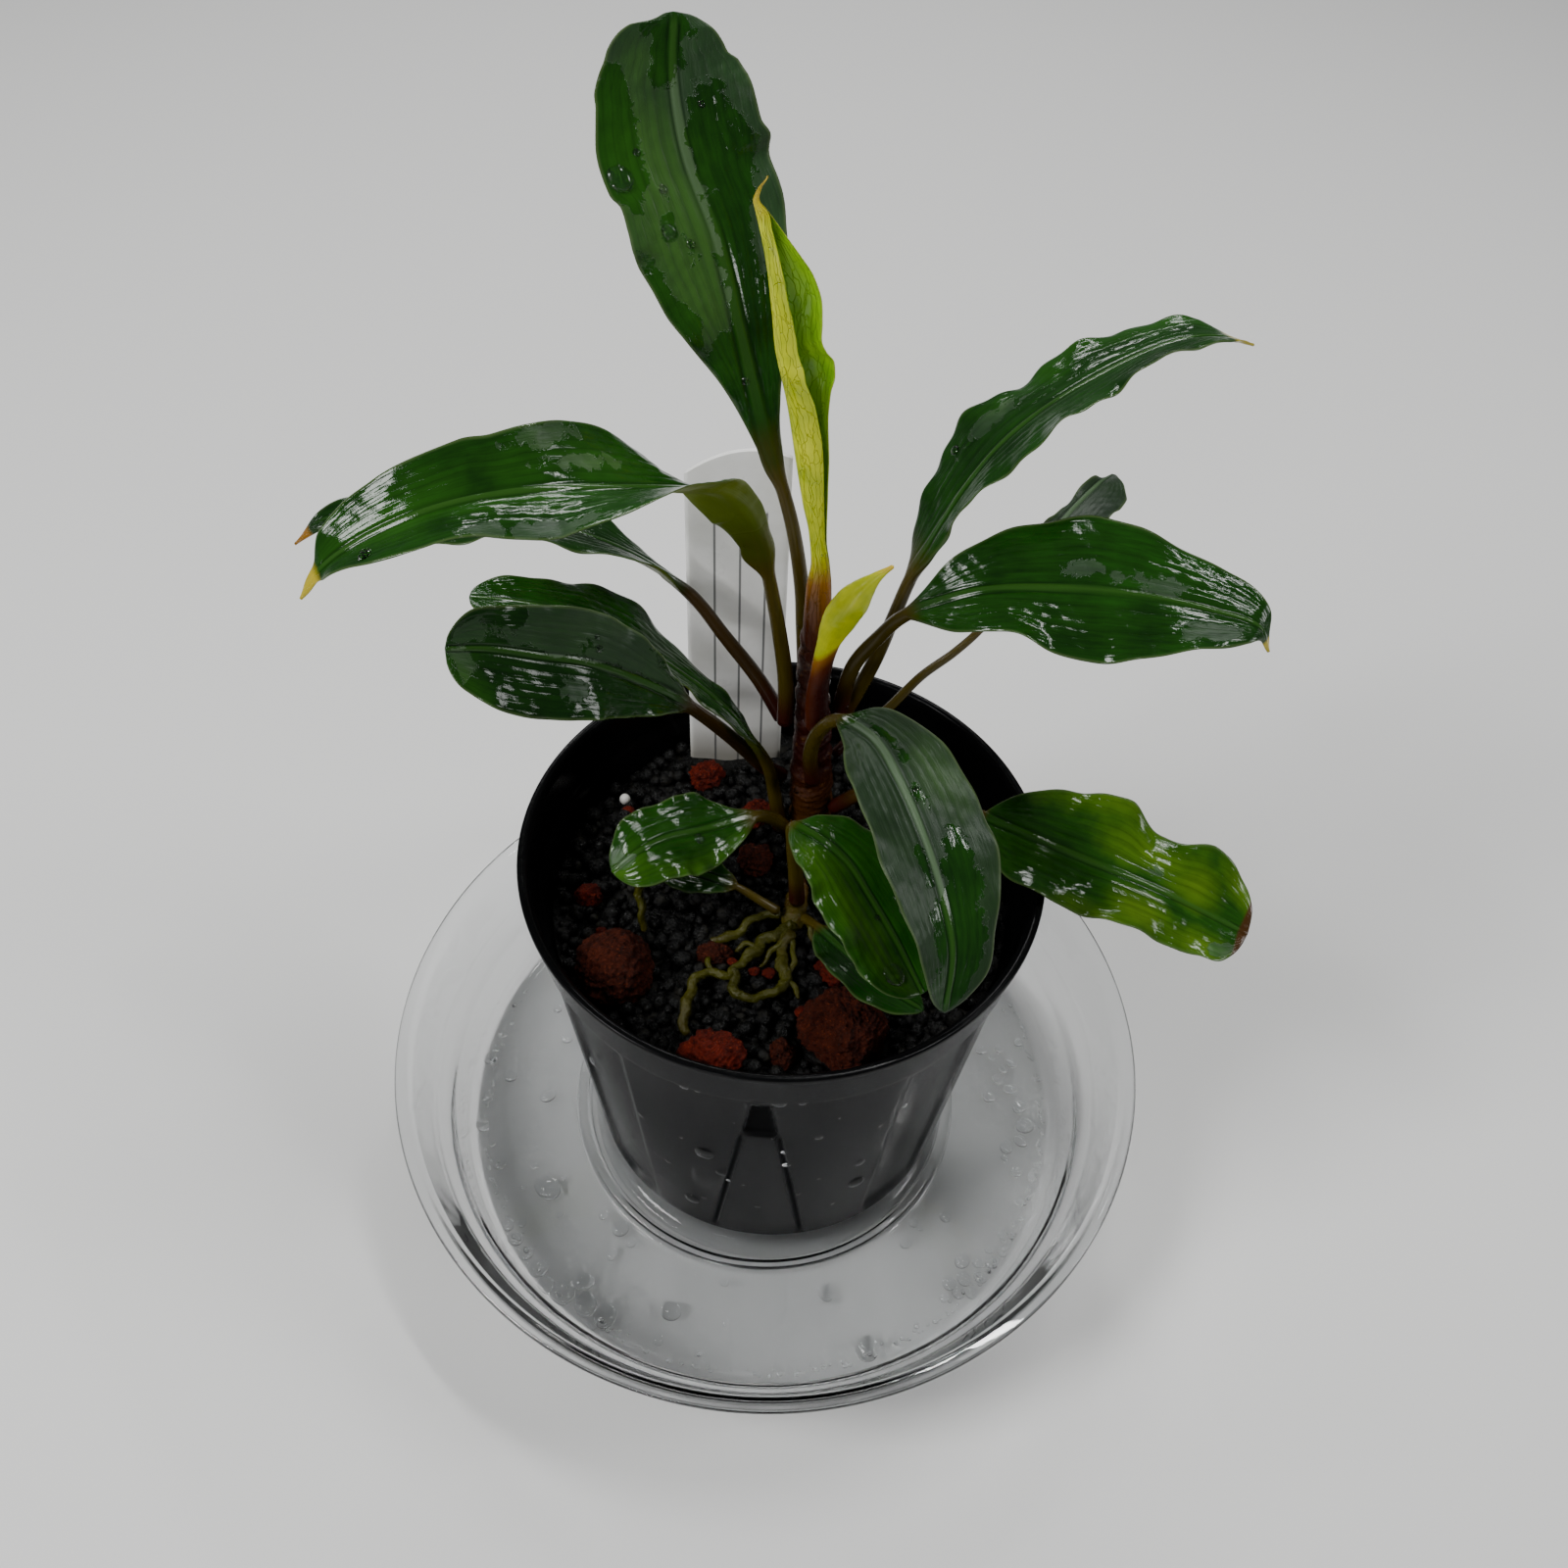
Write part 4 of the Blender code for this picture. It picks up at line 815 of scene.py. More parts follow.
def smooth_through(known, at):
    """A curve through the known (place, value) pairs, with no overshoot, level past both ends.

    Each span is a cubic whose slope at a pair is the harmonic mean of its two neighbours' slopes.
    """
    x, y = np.array(known, float).T
    rise = np.diff(y) / np.diff(x)
    both = rise[:-1] * rise[1:]
    inner = np.where(both > 0, 2 * both / np.where(both > 0, rise[:-1] + rise[1:], 1), 0)
    slopes = np.concatenate([[0], inner, [0]])
    i = np.clip(np.searchsorted(x, at) - 1, 0, len(x) - 2)
    wide = x[i + 1] - x[i]
    s = np.clip((at - x[i]) / wide, 0, 1)
    return (y[i] * (1 + 2 * s) * (1 - s) ** 2 + slopes[i] * wide * s * (1 - s) ** 2
            + y[i + 1] * s * s * (3 - 2 * s) + slopes[i + 1] * wide * s * s * (s - 1))


def points_at(curve, length, where):
    """The curve's points at the given lengths along it."""
    return np.stack([np.interp(where, length, curve[:, k]) for k in range(3)], axis=1)


def frame_along(route, side_hint):
    """Side and upper side at each point; the side stays as near side_hint as it can."""
    along = np.gradient(route, axis=0)
    along /= np.linalg.norm(along, axis=1, keepdims=True)
    side = side_hint - (along @ side_hint)[:, None] * along
    side /= np.linalg.norm(side, axis=1, keepdims=True)
    return side, np.cross(side, along)


def tube(route, radii, columns, step, knob, rough, wander=0.0, side_hint=(0.6, 0.8, 0.1)):
    """A closed tube along a route, round at both ends. radii are spaced evenly along it.

    knob swells it in rings, as leaf scars do, rough adds small waves round and along it, and
    wander bends its middle line from side to side by so many millimetres.
    """
    curve, length, _ = curve_through(route)
    share = np.linspace(0, 1, max(12, int(length[-1] / step)))
    centre = points_at(curve, length, share * length[-1])
    side, up = frame_along(centre, np.array(side_hint))
    mm = share[:, None] * length[-1]
    bend = np.sin(1.3 * mm + route[0][0]) * side + np.sin(1.9 * mm + route[0][1]) * up
    centre = centre + wander * bend
    radius = smooth_through(list(zip(np.linspace(0, 1, len(radii)), radii)), share)[:, None]
    near_end = np.minimum(mm, length[-1] - mm) / radius
    ends = np.sqrt(np.clip(1 - np.clip(1 - near_end, 0, 1) ** 2, 0.01, 1))
    turn = np.linspace(0, 2 * np.pi, columns, endpoint=False)[None, :]
    small = np.sin(2.9 * mm + 2 * turn) * np.sin(1.7 * mm - 3 * turn) + 0.5 * np.sin(6 * mm + 5 * turn)
    wave = 1 + knob * np.abs(np.sin(mm * 0.9 + 0.5 * np.sin(turn))) ** 3 + rough * small
    reach = (radius * wave * ends)[..., None]
    ring = np.cos(turn)[..., None] * side[:, None] + np.sin(turn)[..., None] * up[:, None]
    points, faces = closed(centre[:, None] + reach * ring, centre[[0, -1]], inward=True)
    return points, faces, np.append(np.repeat(share, columns), [0.0, 1.0])


def stem_finish(name, foot, middle, head, gloss):
    """Skin whose colour runs from foot to head along the piece, streaked and dotted."""
    made, tree, shader = finish_of(name, Base_Color=middle, Roughness=gloss, IOR=1.33)
    at = place_in_mm(tree)
    streak = speckle(tree, at, 0.7, 4.0, 0.65)
    share = sum_of(tree, field(tree, "along"), streak, 0.3)
    low = mix_colour(tree, between(tree, share, 0.28, 0.60), foot, middle)
    whole = mix_colour(tree, between(tree, share, 0.7, 1.1), low, head)
    fine = speckle(tree, at, 3.0, 4.0, 0.7)
    dots = between(tree, fine, 0.5, 0.75, 0.0, 0.6)
    dark = mix_colour(tree, dots, whole, tuple(0.3 * c for c in middle))
    streaks = between(tree, streak, 0.56, 0.72, 0.0, 0.6)
    pale = mix_colour(tree, streaks, dark, tuple(1.9 * c for c in foot))
    gloss = between(tree, streak, 0.3, 0.7, gloss * 0.4, gloss * 1.6)
    paint(tree, shader, Base_Color=pale, Roughness=gloss)
    relief(tree, shader, sum_of(tree, streak, fine, 0.5), 0.30)
    return made


red_skin, shoot_skin, root_skin = (stem_finish(name, *look) for name, look in SKINS.items())
points, faces, along = tube(RHIZOME, RHIZOME_RADII, 48, 0.25, 0.10, 0.03, 0.15)
settle(surface("rhizome_skin", points, faces, red_skin, {"along": along}), "red_stem", "rhizome")
stem_points = [points]     # where drops can hang on the stem and stalks
points, faces, along = tube(SIDE_SHOOT, SHOOT_RADII, 36, 0.2, 0.14, 0.07, 0.2, LYING)
shoot = surface("side_shoot_skin", points, faces, shoot_skin, {"along": along})
settle(shoot, "root", "side_shoot_rhizome")
for name, (route, radii) in ROOTS.items():
    points, faces, along = tube(route, radii, 24, 0.2, 0.10, 0.10, 0.18, LYING)
    settle(surface(name + "_skin", points, faces, root_skin, {"along": along}), "root", name)
rootlets = [tube(route, ROOTLET_RADII, 12, 0.25, 0.2, 0.12, 0.2, LYING) for route in ROOTLETS]
points, faces = joined(*(rootlet[:2] for rootlet in rootlets))
along = np.concatenate([rootlet[2] for rootlet in rootlets])
settle(surface("rootlets", points, faces, root_skin, {"along": along}), "root")

# Leaves
# Each leaf is one growth: a thin stalk that widens into a long blade with a pale midrib, fine
# side veins and waved margins. The plant was just watered: dark glossy patches are wet, grey-green
# ones have dried, and drops are left here and there.
STALK_RADIUS, RIB_HALF, BLADE_HALF_THICK, KEEL = 0.9, 0.45, 0.20, 0.45
ROWS_PER_MM, BLADE_COLUMNS, UNDER_COLUMNS = 3.4, 67, 19
SIDE_VEINS = ((0.26, 1.0), (0.42, 0.8), (0.58, 0.65), (0.74, 0.4))      # place across, and depth
RIB_RISE, GROOVE_DEPTH, VEIN_DEPTH, QUILT, RIPPLE = 0.08, 0.16, 0.08, 0.05, 0.26
LEAVES = {
    # route: stalk and midrib, foot to tip. blade: the route point that the blade starts at.
    # width: half of the widest place. full: how blunt its two ends are. skew: how much wider the
    # right half is. head: the way it grows. fold: degrees that each half lifts. roll: degrees of
    # twist from blade start to tip. wave: height, number and phase of the margins' waves.
    # left, right: pairs of share along the blade and half width there, where it leaves the rule.
    # dry, wet, bright: ellipses (share along, place across from -1 left to 1 right, both radii) that
    # have dried, are wet all the same, or are yellow green. tip: share of the blade that yellows.
    # rib: half the midrib's width, where it isn't the usual one. stalk: half the stalk's.
    "leaf_tall": dict(
        route=[(3, 19.6, 87.7), (2.3, 20, 97), (1.8, 20.2, 103.6), (0.4, 20.4, 112.8),
               (-1, 21, 118.3), (-3.6, 22.5, 125.7), (-6.6, 26, 136), (-10.3, 30, 148.5),
               (-13.6, 33, 155.5), (-15.4, 36, 163.4), (-15.3, 38, 169.6)],
        blade=4, width=9.9, rib=0.72, skew=-0.05, full=(1.3, 0.45), head=(-0.2, 1.0), fold=8,
        roll=(0, 0, 0), wave=(0.6, 3.5, 0.4),
        left=[(0.05, 0.7), (0.14, 1.3), (0.21, 2.3), (0.283, 3.7), (0.342, 5.2), (0.40, 6.7),
              (0.458, 8.2), (0.517, 9.0), (0.558, 9.6), (0.617, 9.8), (0.662, 9.4), (0.70, 9.1),
              (0.72, 9.8), (0.775, 10.0), (0.829, 9.3), (0.85, 9.0), (0.872, 8.9), (0.896, 8.2),
              (0.912, 7.6), (0.933, 7.1), (0.954, 6.2), (0.972, 4.9), (0.984, 2.4), (0.993, 1.4)],
        right=[(0.08, 1.0), (0.2, 2.4), (0.34, 4.8), (0.48, 7.0), (0.55, 7.8), (0.608, 8.7),
               (0.671, 8.9), (0.74, 9.7), (0.779, 9.0), (0.825, 8.8), (0.871, 8.4), (0.925, 7.2),
               (0.94, 6.0), (0.96, 5.3), (0.979, 4.2), (0.992, 2.6)],
        dry=[(0.62, 0.0, 1.0, 4.0)],
        wet=[(0.81, -0.86, 0.10, 0.34), (0.74, -0.78, 0.05, 0.30), (0.99, -0.12, 0.04, 0.62),
             (0.945, -0.10, 0.08, 0.26), (0.74, 0.42, 0.125, 0.40), (0.52, 0.24, 0.19, 0.27),
             (0.50, -0.98, 0.10, 0.22), (0.43, -0.92, 0.06, 0.35), (0.12, 0.0, 0.27, 2.4),
             (0.36, 0.5, 0.14, 0.7), (0.63, -0.52, 0.025, 0.07), (0.58, -0.32, 0.02, 0.05),
             (0.70, -0.42, 0.012, 0.05)],
        bright=[(0.62, -0.42, 0.28, 0.50)]),
    "leaf_right_upper": dict(
        route=[(8, 16.6, 81), (12.5, 17.2, 94), (14.4, 18, 101.3), (16, 19, 107), (18, 20, 112),
               (21.5, 22, 119.6), (27, 25, 126.6), (36, 29, 132.2), (46, 32, 136.4),
               (51.5, 33, 136.8), (56.5, 34, 135.3)],
        blade=3, width=8.8, skew=-0.03, full=(0.8, 0.7), head=(1, 0.4), fold=8,
        roll=(0, 20, 16), wave=(0.6, 4.0, 0.0),
        left=[(0.075, 3.2), (0.158, 5.6), (0.246, 7.7), (0.33, 9.3), (0.40, 9.3), (0.475, 8.7),
              (0.55, 8.5), (0.65, 8.4), (0.75, 7.2), (0.83, 6.2), (0.89, 5.0), (0.94, 2.2),
              (0.97, 0.7)],
        right=[(0.1, 1.8), (0.19, 3.0), (0.32, 5.6), (0.41, 7.9), (0.49, 9.2), (0.56, 8.5),
               (0.64, 7.2), (0.72, 5.8), (0.8, 5.4), (0.88, 3.8), (0.94, 1.6), (0.97, 0.6)],
        dry=[(0.40, -0.55, 0.07, 0.14)], tip=0.09, bright=[(0.75, -0.9, 0.2, 0.25)]),
    "leaf_right": dict(
        route=[(7.9, 13.4, 87), (9.4, 13.8, 96), (12.4, 14, 101.3), (15.6, 13, 106.5),
               (24, 12, 112), (34, 11, 114), (43, 9, 115.3), (52, 6, 116), (57.5, 4, 115.4),
               (59.3, 3, 112.4)],
        blade=3, width=9.2, skew=0.0, full=(0.85, 0.75), head=(1, -0.1), fold=6,
        roll=(-20, -26, -12), wave=(0.8, 2.5, 0.9),
        left=[(0.07, 2.4), (0.20, 5.9), (0.31, 8.4), (0.47, 9.5), (0.58, 8.6), (0.75, 6.6),
              (0.85, 5.3), (0.93, 2.6), (0.96, 0.9), (0.985, 0.45)],
        right=[(0.10, 4.0), (0.29, 6.5), (0.40, 8.9), (0.50, 9.7), (0.65, 9.3), (0.83, 5.7),
               (0.92, 3.0), (0.96, 0.9), (0.985, 0.45)],
        dry=[(0.47, -0.26, 0.05, 0.12), (0.56, -0.22, 0.02, 0.08), (0.66, -0.22, 0.07, 0.13),
             (0.82, 0.55, 0.07, 0.22)],
        tip=0.05),
    "leaf_right_back": dict(
        route=[(8, 17.2, 74), (11.8, 18.5, 78.5), (15.3, 20.5, 80.6), (20.2, 25, 83.4),
               (25.3, 29, 85), (29.5, 33, 86.8), (34, 39.5, 89.7), (38.5, 46, 92), (43.4, 53, 93.6),
               (48, 59.5, 93.6), (51.4, 65, 91.8)],
        blade=5, width=4.0, skew=0.1, full=(0.9, 0.6), head=(0.6, 1), fold=10, stalk=0.6,
        roll=(-6, -8, 10), wave=(1.1, 3.0, 0.2),
        left=[(0.1, 1.0), (0.4, 1.9), (0.6, 1.5), (0.8, 1.5), (0.92, 0.8)],
        right=[(0.1, 1.4), (0.4, 4.6), (0.6, 6.0), (0.72, 6.3), (0.80, 5.8), (0.88, 3.8),
               (0.95, 1.6)],
        dry=[(0.72, 0.0, 0.4, 3.0)]),
    "leaf_left_arching": dict(
        route=[(0.4, 13, 85), (0.2, 13, 93), (-1, 12.6, 103), (-2.5, 12, 112.5),
               (-3.5, 10.5, 119.2), (-5.3, 8, 126), (-7.8, 4.5, 131.3), (-11, 0.5, 134.8),
               (-17.4, -4, 138), (-27, -8, 140.2), (-36.6, -11, 139.5), (-44.8, -13, 136),
               (-48.8, -14, 132.9), (-51, -15, 130)],
        blade=3, width=7.0, skew=0.0, full=(1.1, 0.85), head=(-1, -0.8), fold=20,
        roll=(-45, -80, -14, 22, 10, 0), wave=(0.4, 2.4, 2.6), tip=0.07,
        left=[(0.05, 0.9), (0.12, 1.3), (0.17, 1.8), (0.23, 2.1), (0.30, 2.7), (0.38, 4.0),
              (0.47, 6.0), (0.54, 7.4), (0.61, 7.7), (0.66, 6.6), (0.71, 5.4), (0.79, 5.2),
              (0.85, 4.3), (0.90, 2.9), (0.94, 1.7), (0.96, 0.8), (0.985, 0.45)],
        right=[(0.03, 1.6), (0.10, 2.7), (0.17, 3.7), (0.23, 4.4), (0.28, 5.3), (0.36, 6.6),
               (0.43, 7.7), (0.51, 7.9), (0.56, 7.4), (0.61, 6.3), (0.66, 5.7), (0.70, 6.0),
               (0.76, 5.4), (0.82, 4.9), (0.88, 4.3), (0.92, 3.1), (0.955, 0.9), (0.985, 0.45)],
        dry=[(0.60, 0.80, 0.05, 0.18), (0.53, 0.40, 0.05, 0.12), (0.62, -0.85, 0.08, 0.14)],
        bright=[(0.50, 0.45, 0.12, 0.25), (0.62, -0.2, 0.1, 0.16), (0.85, 0.1, 0.12, 0.5)]),
    "leaf_left_behind": dict(
        route=[(-0.2, 17.2, 81.5), (-3.6, 19, 87), (-8.6, 21, 93.2), (-13.5, 23, 99),
               (-21, 24, 104.8), (-32.7, 25, 108.7), (-44.5, 25, 109.6), (-55, 24, 109.8),
               (-62, 22, 110), (-66, 20, 107.3)],
        blade=3, width=8.6, skew=0.0, full=(0.9, 1.0), head=(-1, 0.2), fold=6,
        roll=(-36, -12, 14), wave=(0.8, 3.0, 1.0), tip=0.07,
        left=[(0.1, 2.6), (0.25, 5.4), (0.45, 8.0), (0.6, 7.4), (0.75, 5.2), (0.86, 3.0),
              (0.92, 1.3), (0.96, 0.6)],
        right=[(0.1, 2.6), (0.25, 5.4), (0.45, 8.0), (0.6, 7.4), (0.75, 5.2), (0.86, 3.0),
               (0.92, 1.3), (0.96, 0.6)]),
    "leaf_left_mid": dict(
        route=[(0.4, 11.8, 62.5), (-0.6, 12, 69.7), (-1.8, 11.8, 76.5), (-4.5, 11.1, 83.4),
               (-8, 11.3, 89), (-13.5, 13.1, 92.9), (-21.4, 13.5, 99.2), (-28.1, 12.5, 104),
               (-35.4, 11.5, 106.7), (-41, 10.7, 107.8)],
        blade=2, width=6.3, skew=0.05, full=(1.15, 0.45), head=(-1, -0.1), fold=4,
        roll=(-5, -10, -3), wave=(0.6, 3.0, 1.5),
        right=[(0.1, 1.2), (0.296, 2.6), (0.404, 5.2), (0.5, 7.2), (0.583, 8.4), (0.704, 7.8),
               (0.85, 5.3), (0.929, 4.2)],
        bright=[(0.22, -0.2, 0.18, 0.5)]),
    "leaf_left_low": dict(
        route=[(0.3, 14.9, 71), (-2.6, 14, 74.2), (-4.7, 12.5, 78.6), (-7.4, 10.2, 84.5),
               (-12.2, 4.6, 95.8), (-16.2, 1.8, 102), (-23.9, -2.2, 109.9), (-29.2, -4.2, 112.7),
               (-34.5, -6.2, 115.4), (-39.1, -8.2, 117)],
        blade=4, width=6.4, skew=-0.11, full=(0.84, 0.45), head=(-1, -0.3), fold=9,
        roll=(36, 48, 56), wave=(0.5, 3.0, 0.6),
        left=[(0.08, 1.6), (0.19, 3.4), (0.35, 5.4), (0.53, 7.1), (0.77, 7.3), (0.92, 5.4),
              (0.97, 3.8)],
        right=[(0.06, 1.4), (0.14, 2.5), (0.42, 5.8), (0.62, 6.3), (0.82, 5.3), (0.94, 4.2)],
        dry=[(0.55, 0.62, 0.33, 0.55), (0.22, 0.42, 0.22, 0.25), (0.56, -0.48, 0.05, 0.15),
             (0.95, -0.3, 0.035, 0.4), (0.94, 0.45, 0.05, 0.3)],
        wet=[(0.82, 0.80, 0.07, 0.25), (0.5, 0.30, 0.02, 0.05)], bright=[(0.93, -0.8, 0.07, 0.3)]),
    "leaf_left_small": dict(
        route=[(1.8, 9.6, 64.2), (-0.6, 6.8, 70.6), (-3.2, 4, 74.4), (-10, 0, 76),
               (-15.3, -3, 77.3), (-19, -6, 77.6), (-22.3, -8, 75.4)],
        blade=2, width=6.2, skew=-0.1, full=(0.83, 0.57), head=(-1, -0.6), fold=7,
        roll=(20, 18, 10), wave=(0.4, 2.5, 0.2),
        left=[(0.08, 2.0), (0.19, 3.8), (0.50, 6.9), (0.72, 6.2), (0.87, 5.2), (0.95, 3.4)],
        right=[(0.12, 1.7), (0.33, 5.2), (0.61, 5.2), (0.78, 4.9), (0.92, 3.0)],
        dry=[(0.92, 0.5, 0.06, 0.3), (0.9, -0.1, 0.04, 0.15)],
        bright=[(0.94, -0.4, 0.12, 0.7), (0.55, -0.85, 0.25, 0.2)]),
    "leaf_small_under": dict(
        route=[(0.6, -5.8, 65.2), (-2.2, -5.4, 67.2), (-5.3, -4.4, 68.6), (-10.5, -3.4, 69.8),
               (-17, -1, 68.4)],
        blade=2, width=3.4, skew=0.0, full=(0.8, 0.65), head=(-1, 0.1), fold=8,
        roll=(12, 10, 8), wave=(0.3, 2.0, 0.0), stalk=0.55),
    "leaf_front": dict(
        route=[(4.8, 10.4, 75.5), (4.2, 9.6, 82), (5.2, 7.6, 89.2), (7.8, 5, 94.3), (12, 1, 95.4),
               (15, -5, 95.3), (18.8, -14, 92.8), (21, -20, 89.8), (22.6, -25, 85.4),
               (22.2, -30, 79)],
        blade=3, width=8.2, rib=0.62, skew=0.0, full=(0.7, 0.65), head=(0.4, -1), fold=12,
        roll=(-12, 8, 8), wave=(0.5, 2.5, 0.0),
        left=[(0.04, 2.6), (0.15, 5.3), (0.31, 7.7), (0.46, 8.5), (0.62, 8.1), (0.78, 6.1),
              (0.90, 4.4)],
        right=[(0.10, 3.9), (0.34, 6.9), (0.55, 7.3), (0.68, 6.4), (0.85, 4.9), (0.95, 2.7)],
        dry=[(0.40, 0.0, 0.9, 4.0)],
        wet=[(0.66, -0.38, 0.17, 0.30), (0.80, -0.15, 0.14, 0.62), (0.93, 0.1, 0.08, 0.8),
             (0.16, -0.30, 0.08, 0.13), (0.35, -0.17, 0.03, 0.06), (0.02, 0.0, 0.04, 1.0),
             (0.62, 0.18, 0.10, 0.10)],
        bright=[(0.30, -0.55, 0.10, 0.2)]),
    "leaf_front_under": dict(
        route=[(3.4, -3.6, 65), (2.9, -4.6, 73), (2.3, -5.6, 81), (2.4, -6.5, 85.4), (6, -9, 86.2),
               (9.5, -12, 85.4), (12.6, -16, 83.4), (15.8, -20, 80.6), (19.8, -26, 76.8)],
        blade=3, width=7.8, skew=0.08, full=(0.62, 0.42), head=(0.8, -0.7), fold=8,
        roll=(0, 2, -2), wave=(0.5, 3.0, 0.8),
        right=[(0.07, 3.6), (0.18, 5.6), (0.32, 7.2), (0.57, 8.0), (0.75, 7.4), (0.87, 6.4)],
        bright=[(0.28, 0.66, 0.16, 0.25), (0.52, 0.48, 0.2, 0.20), (0.72, 0.42, 0.16, 0.16),
                (0.86, 0.45, 0.06, 0.16)]),
    "leaf_front_low": dict(
        route=[(4.6, -6.8, 65), (6.4, -10.8, 68.8), (10.6, -17.4, 71.8), (15.4, -22, 71.8),
               (20.6, -24.6, 70.5)],
        blade=1, width=4.6, skew=0.0, full=(0.8, 0.65), head=(0.8, -0.7), fold=8,
        roll=(6, 8, 8), wave=(0.3, 2.0, 0.5), stalk=0.6),
    "leaf_right_low": dict(
        route=[(8.2, 12.2, 67.4), (13.6, 11.2, 73), (22, 8.5, 75.4), (29.5, 5, 75.6), (37, 1, 76),
               (42.6, -1.5, 75.6), (49.2, -4, 75), (55.8, -6.5, 74), (66, -10, 71)],
        blade=3, width=9.0, skew=0.0, full=(0.6, 0.5), head=(1, -0.35), fold=10,
        roll=(-26, -16, -22), wave=(1.2, 3.0, 1.2),
        left=[(0.09, 4.6), (0.2, 7.6), (0.30, 9.2), (0.47, 9.8), (0.60, 7.6), (0.68, 7.6),
              (0.78, 8.6), (0.90, 7.0), (0.96, 4.9)],
        right=[(0.06, 4.0), (0.15, 6.7), (0.33, 8.0), (0.53, 7.9), (0.67, 7.4), (0.85, 6.6),
               (0.95, 5.2)],
        bright=[(0.60, -0.55, 0.15, 0.26), (0.77, -0.30, 0.09, 0.34), (0.93, -0.85, 0.09, 0.3),
                (0.62, 0.62, 0.10, 0.34), (0.50, 0.95, 0.12, 0.16), (0.43, -0.92, 0.16, 0.14),
                (0.85, 0.72, 0.13, 0.24)],
        dry=[(0.62, -0.26, 0.03, 0.07), (0.92, 0.72, 0.05, 0.16)], tip=0.05),
}


def half_widths(leaf, t, side):
    """The blade's half width on one side, -1 left or 1 right.

    The rule is width × t^a × (1 - t)^b over its peak. Measured pairs bend it by their ratio to it.
    """
    a, b = leaf["full"]
    peak = (a / (a + b)) ** a * (b / (a + b)) ** b
    rule = leaf["width"] * np.clip(t, 0, 1) ** a * np.clip(1 - t, 0, 1) ** b / peak
    measured = leaf.get("left" if side < 0 else "right")
    if not measured:
        return rule * (1 + side * leaf["skew"])
    ratios = [(x, y / (leaf["width"] * x ** a * (1 - x) ** b / peak)) for x, y in measured]
    return rule * smooth_through(ratios, t)


def patches(ellipses, t, u, long, wide):
    """Millimetres that each point lies inside the nearest of the ellipses, or, below 0, outside."""
    depth = np.full(np.broadcast(t, u).shape, -6.0)
    for along, across, long_radius, wide_radius in ellipses:
        inside = 1 - np.hypot((t - along) / long_radius, (u - across) / wide_radius)
        depth = np.maximum(depth, inside * min(long_radius * long, wide_radius * wide))
    return np.clip(depth, -6, 6)


def at_points(fields, *spot):
    """The fields with a value at each point of the grid and at the two poles that close it.

    The three numbers of spot become one field of their own.
    """
    spot = np.stack(np.broadcast_arrays(*spot), axis=-1)
    fields = {key: np.broadcast_to(values, spot.shape[:2]).ravel() for key, values in fields.items()}
    fields["spot"] = spot.reshape(-1, 3)
    return {key: np.concatenate([values, values[[0, -1]]]) for key, values in fields.items()}


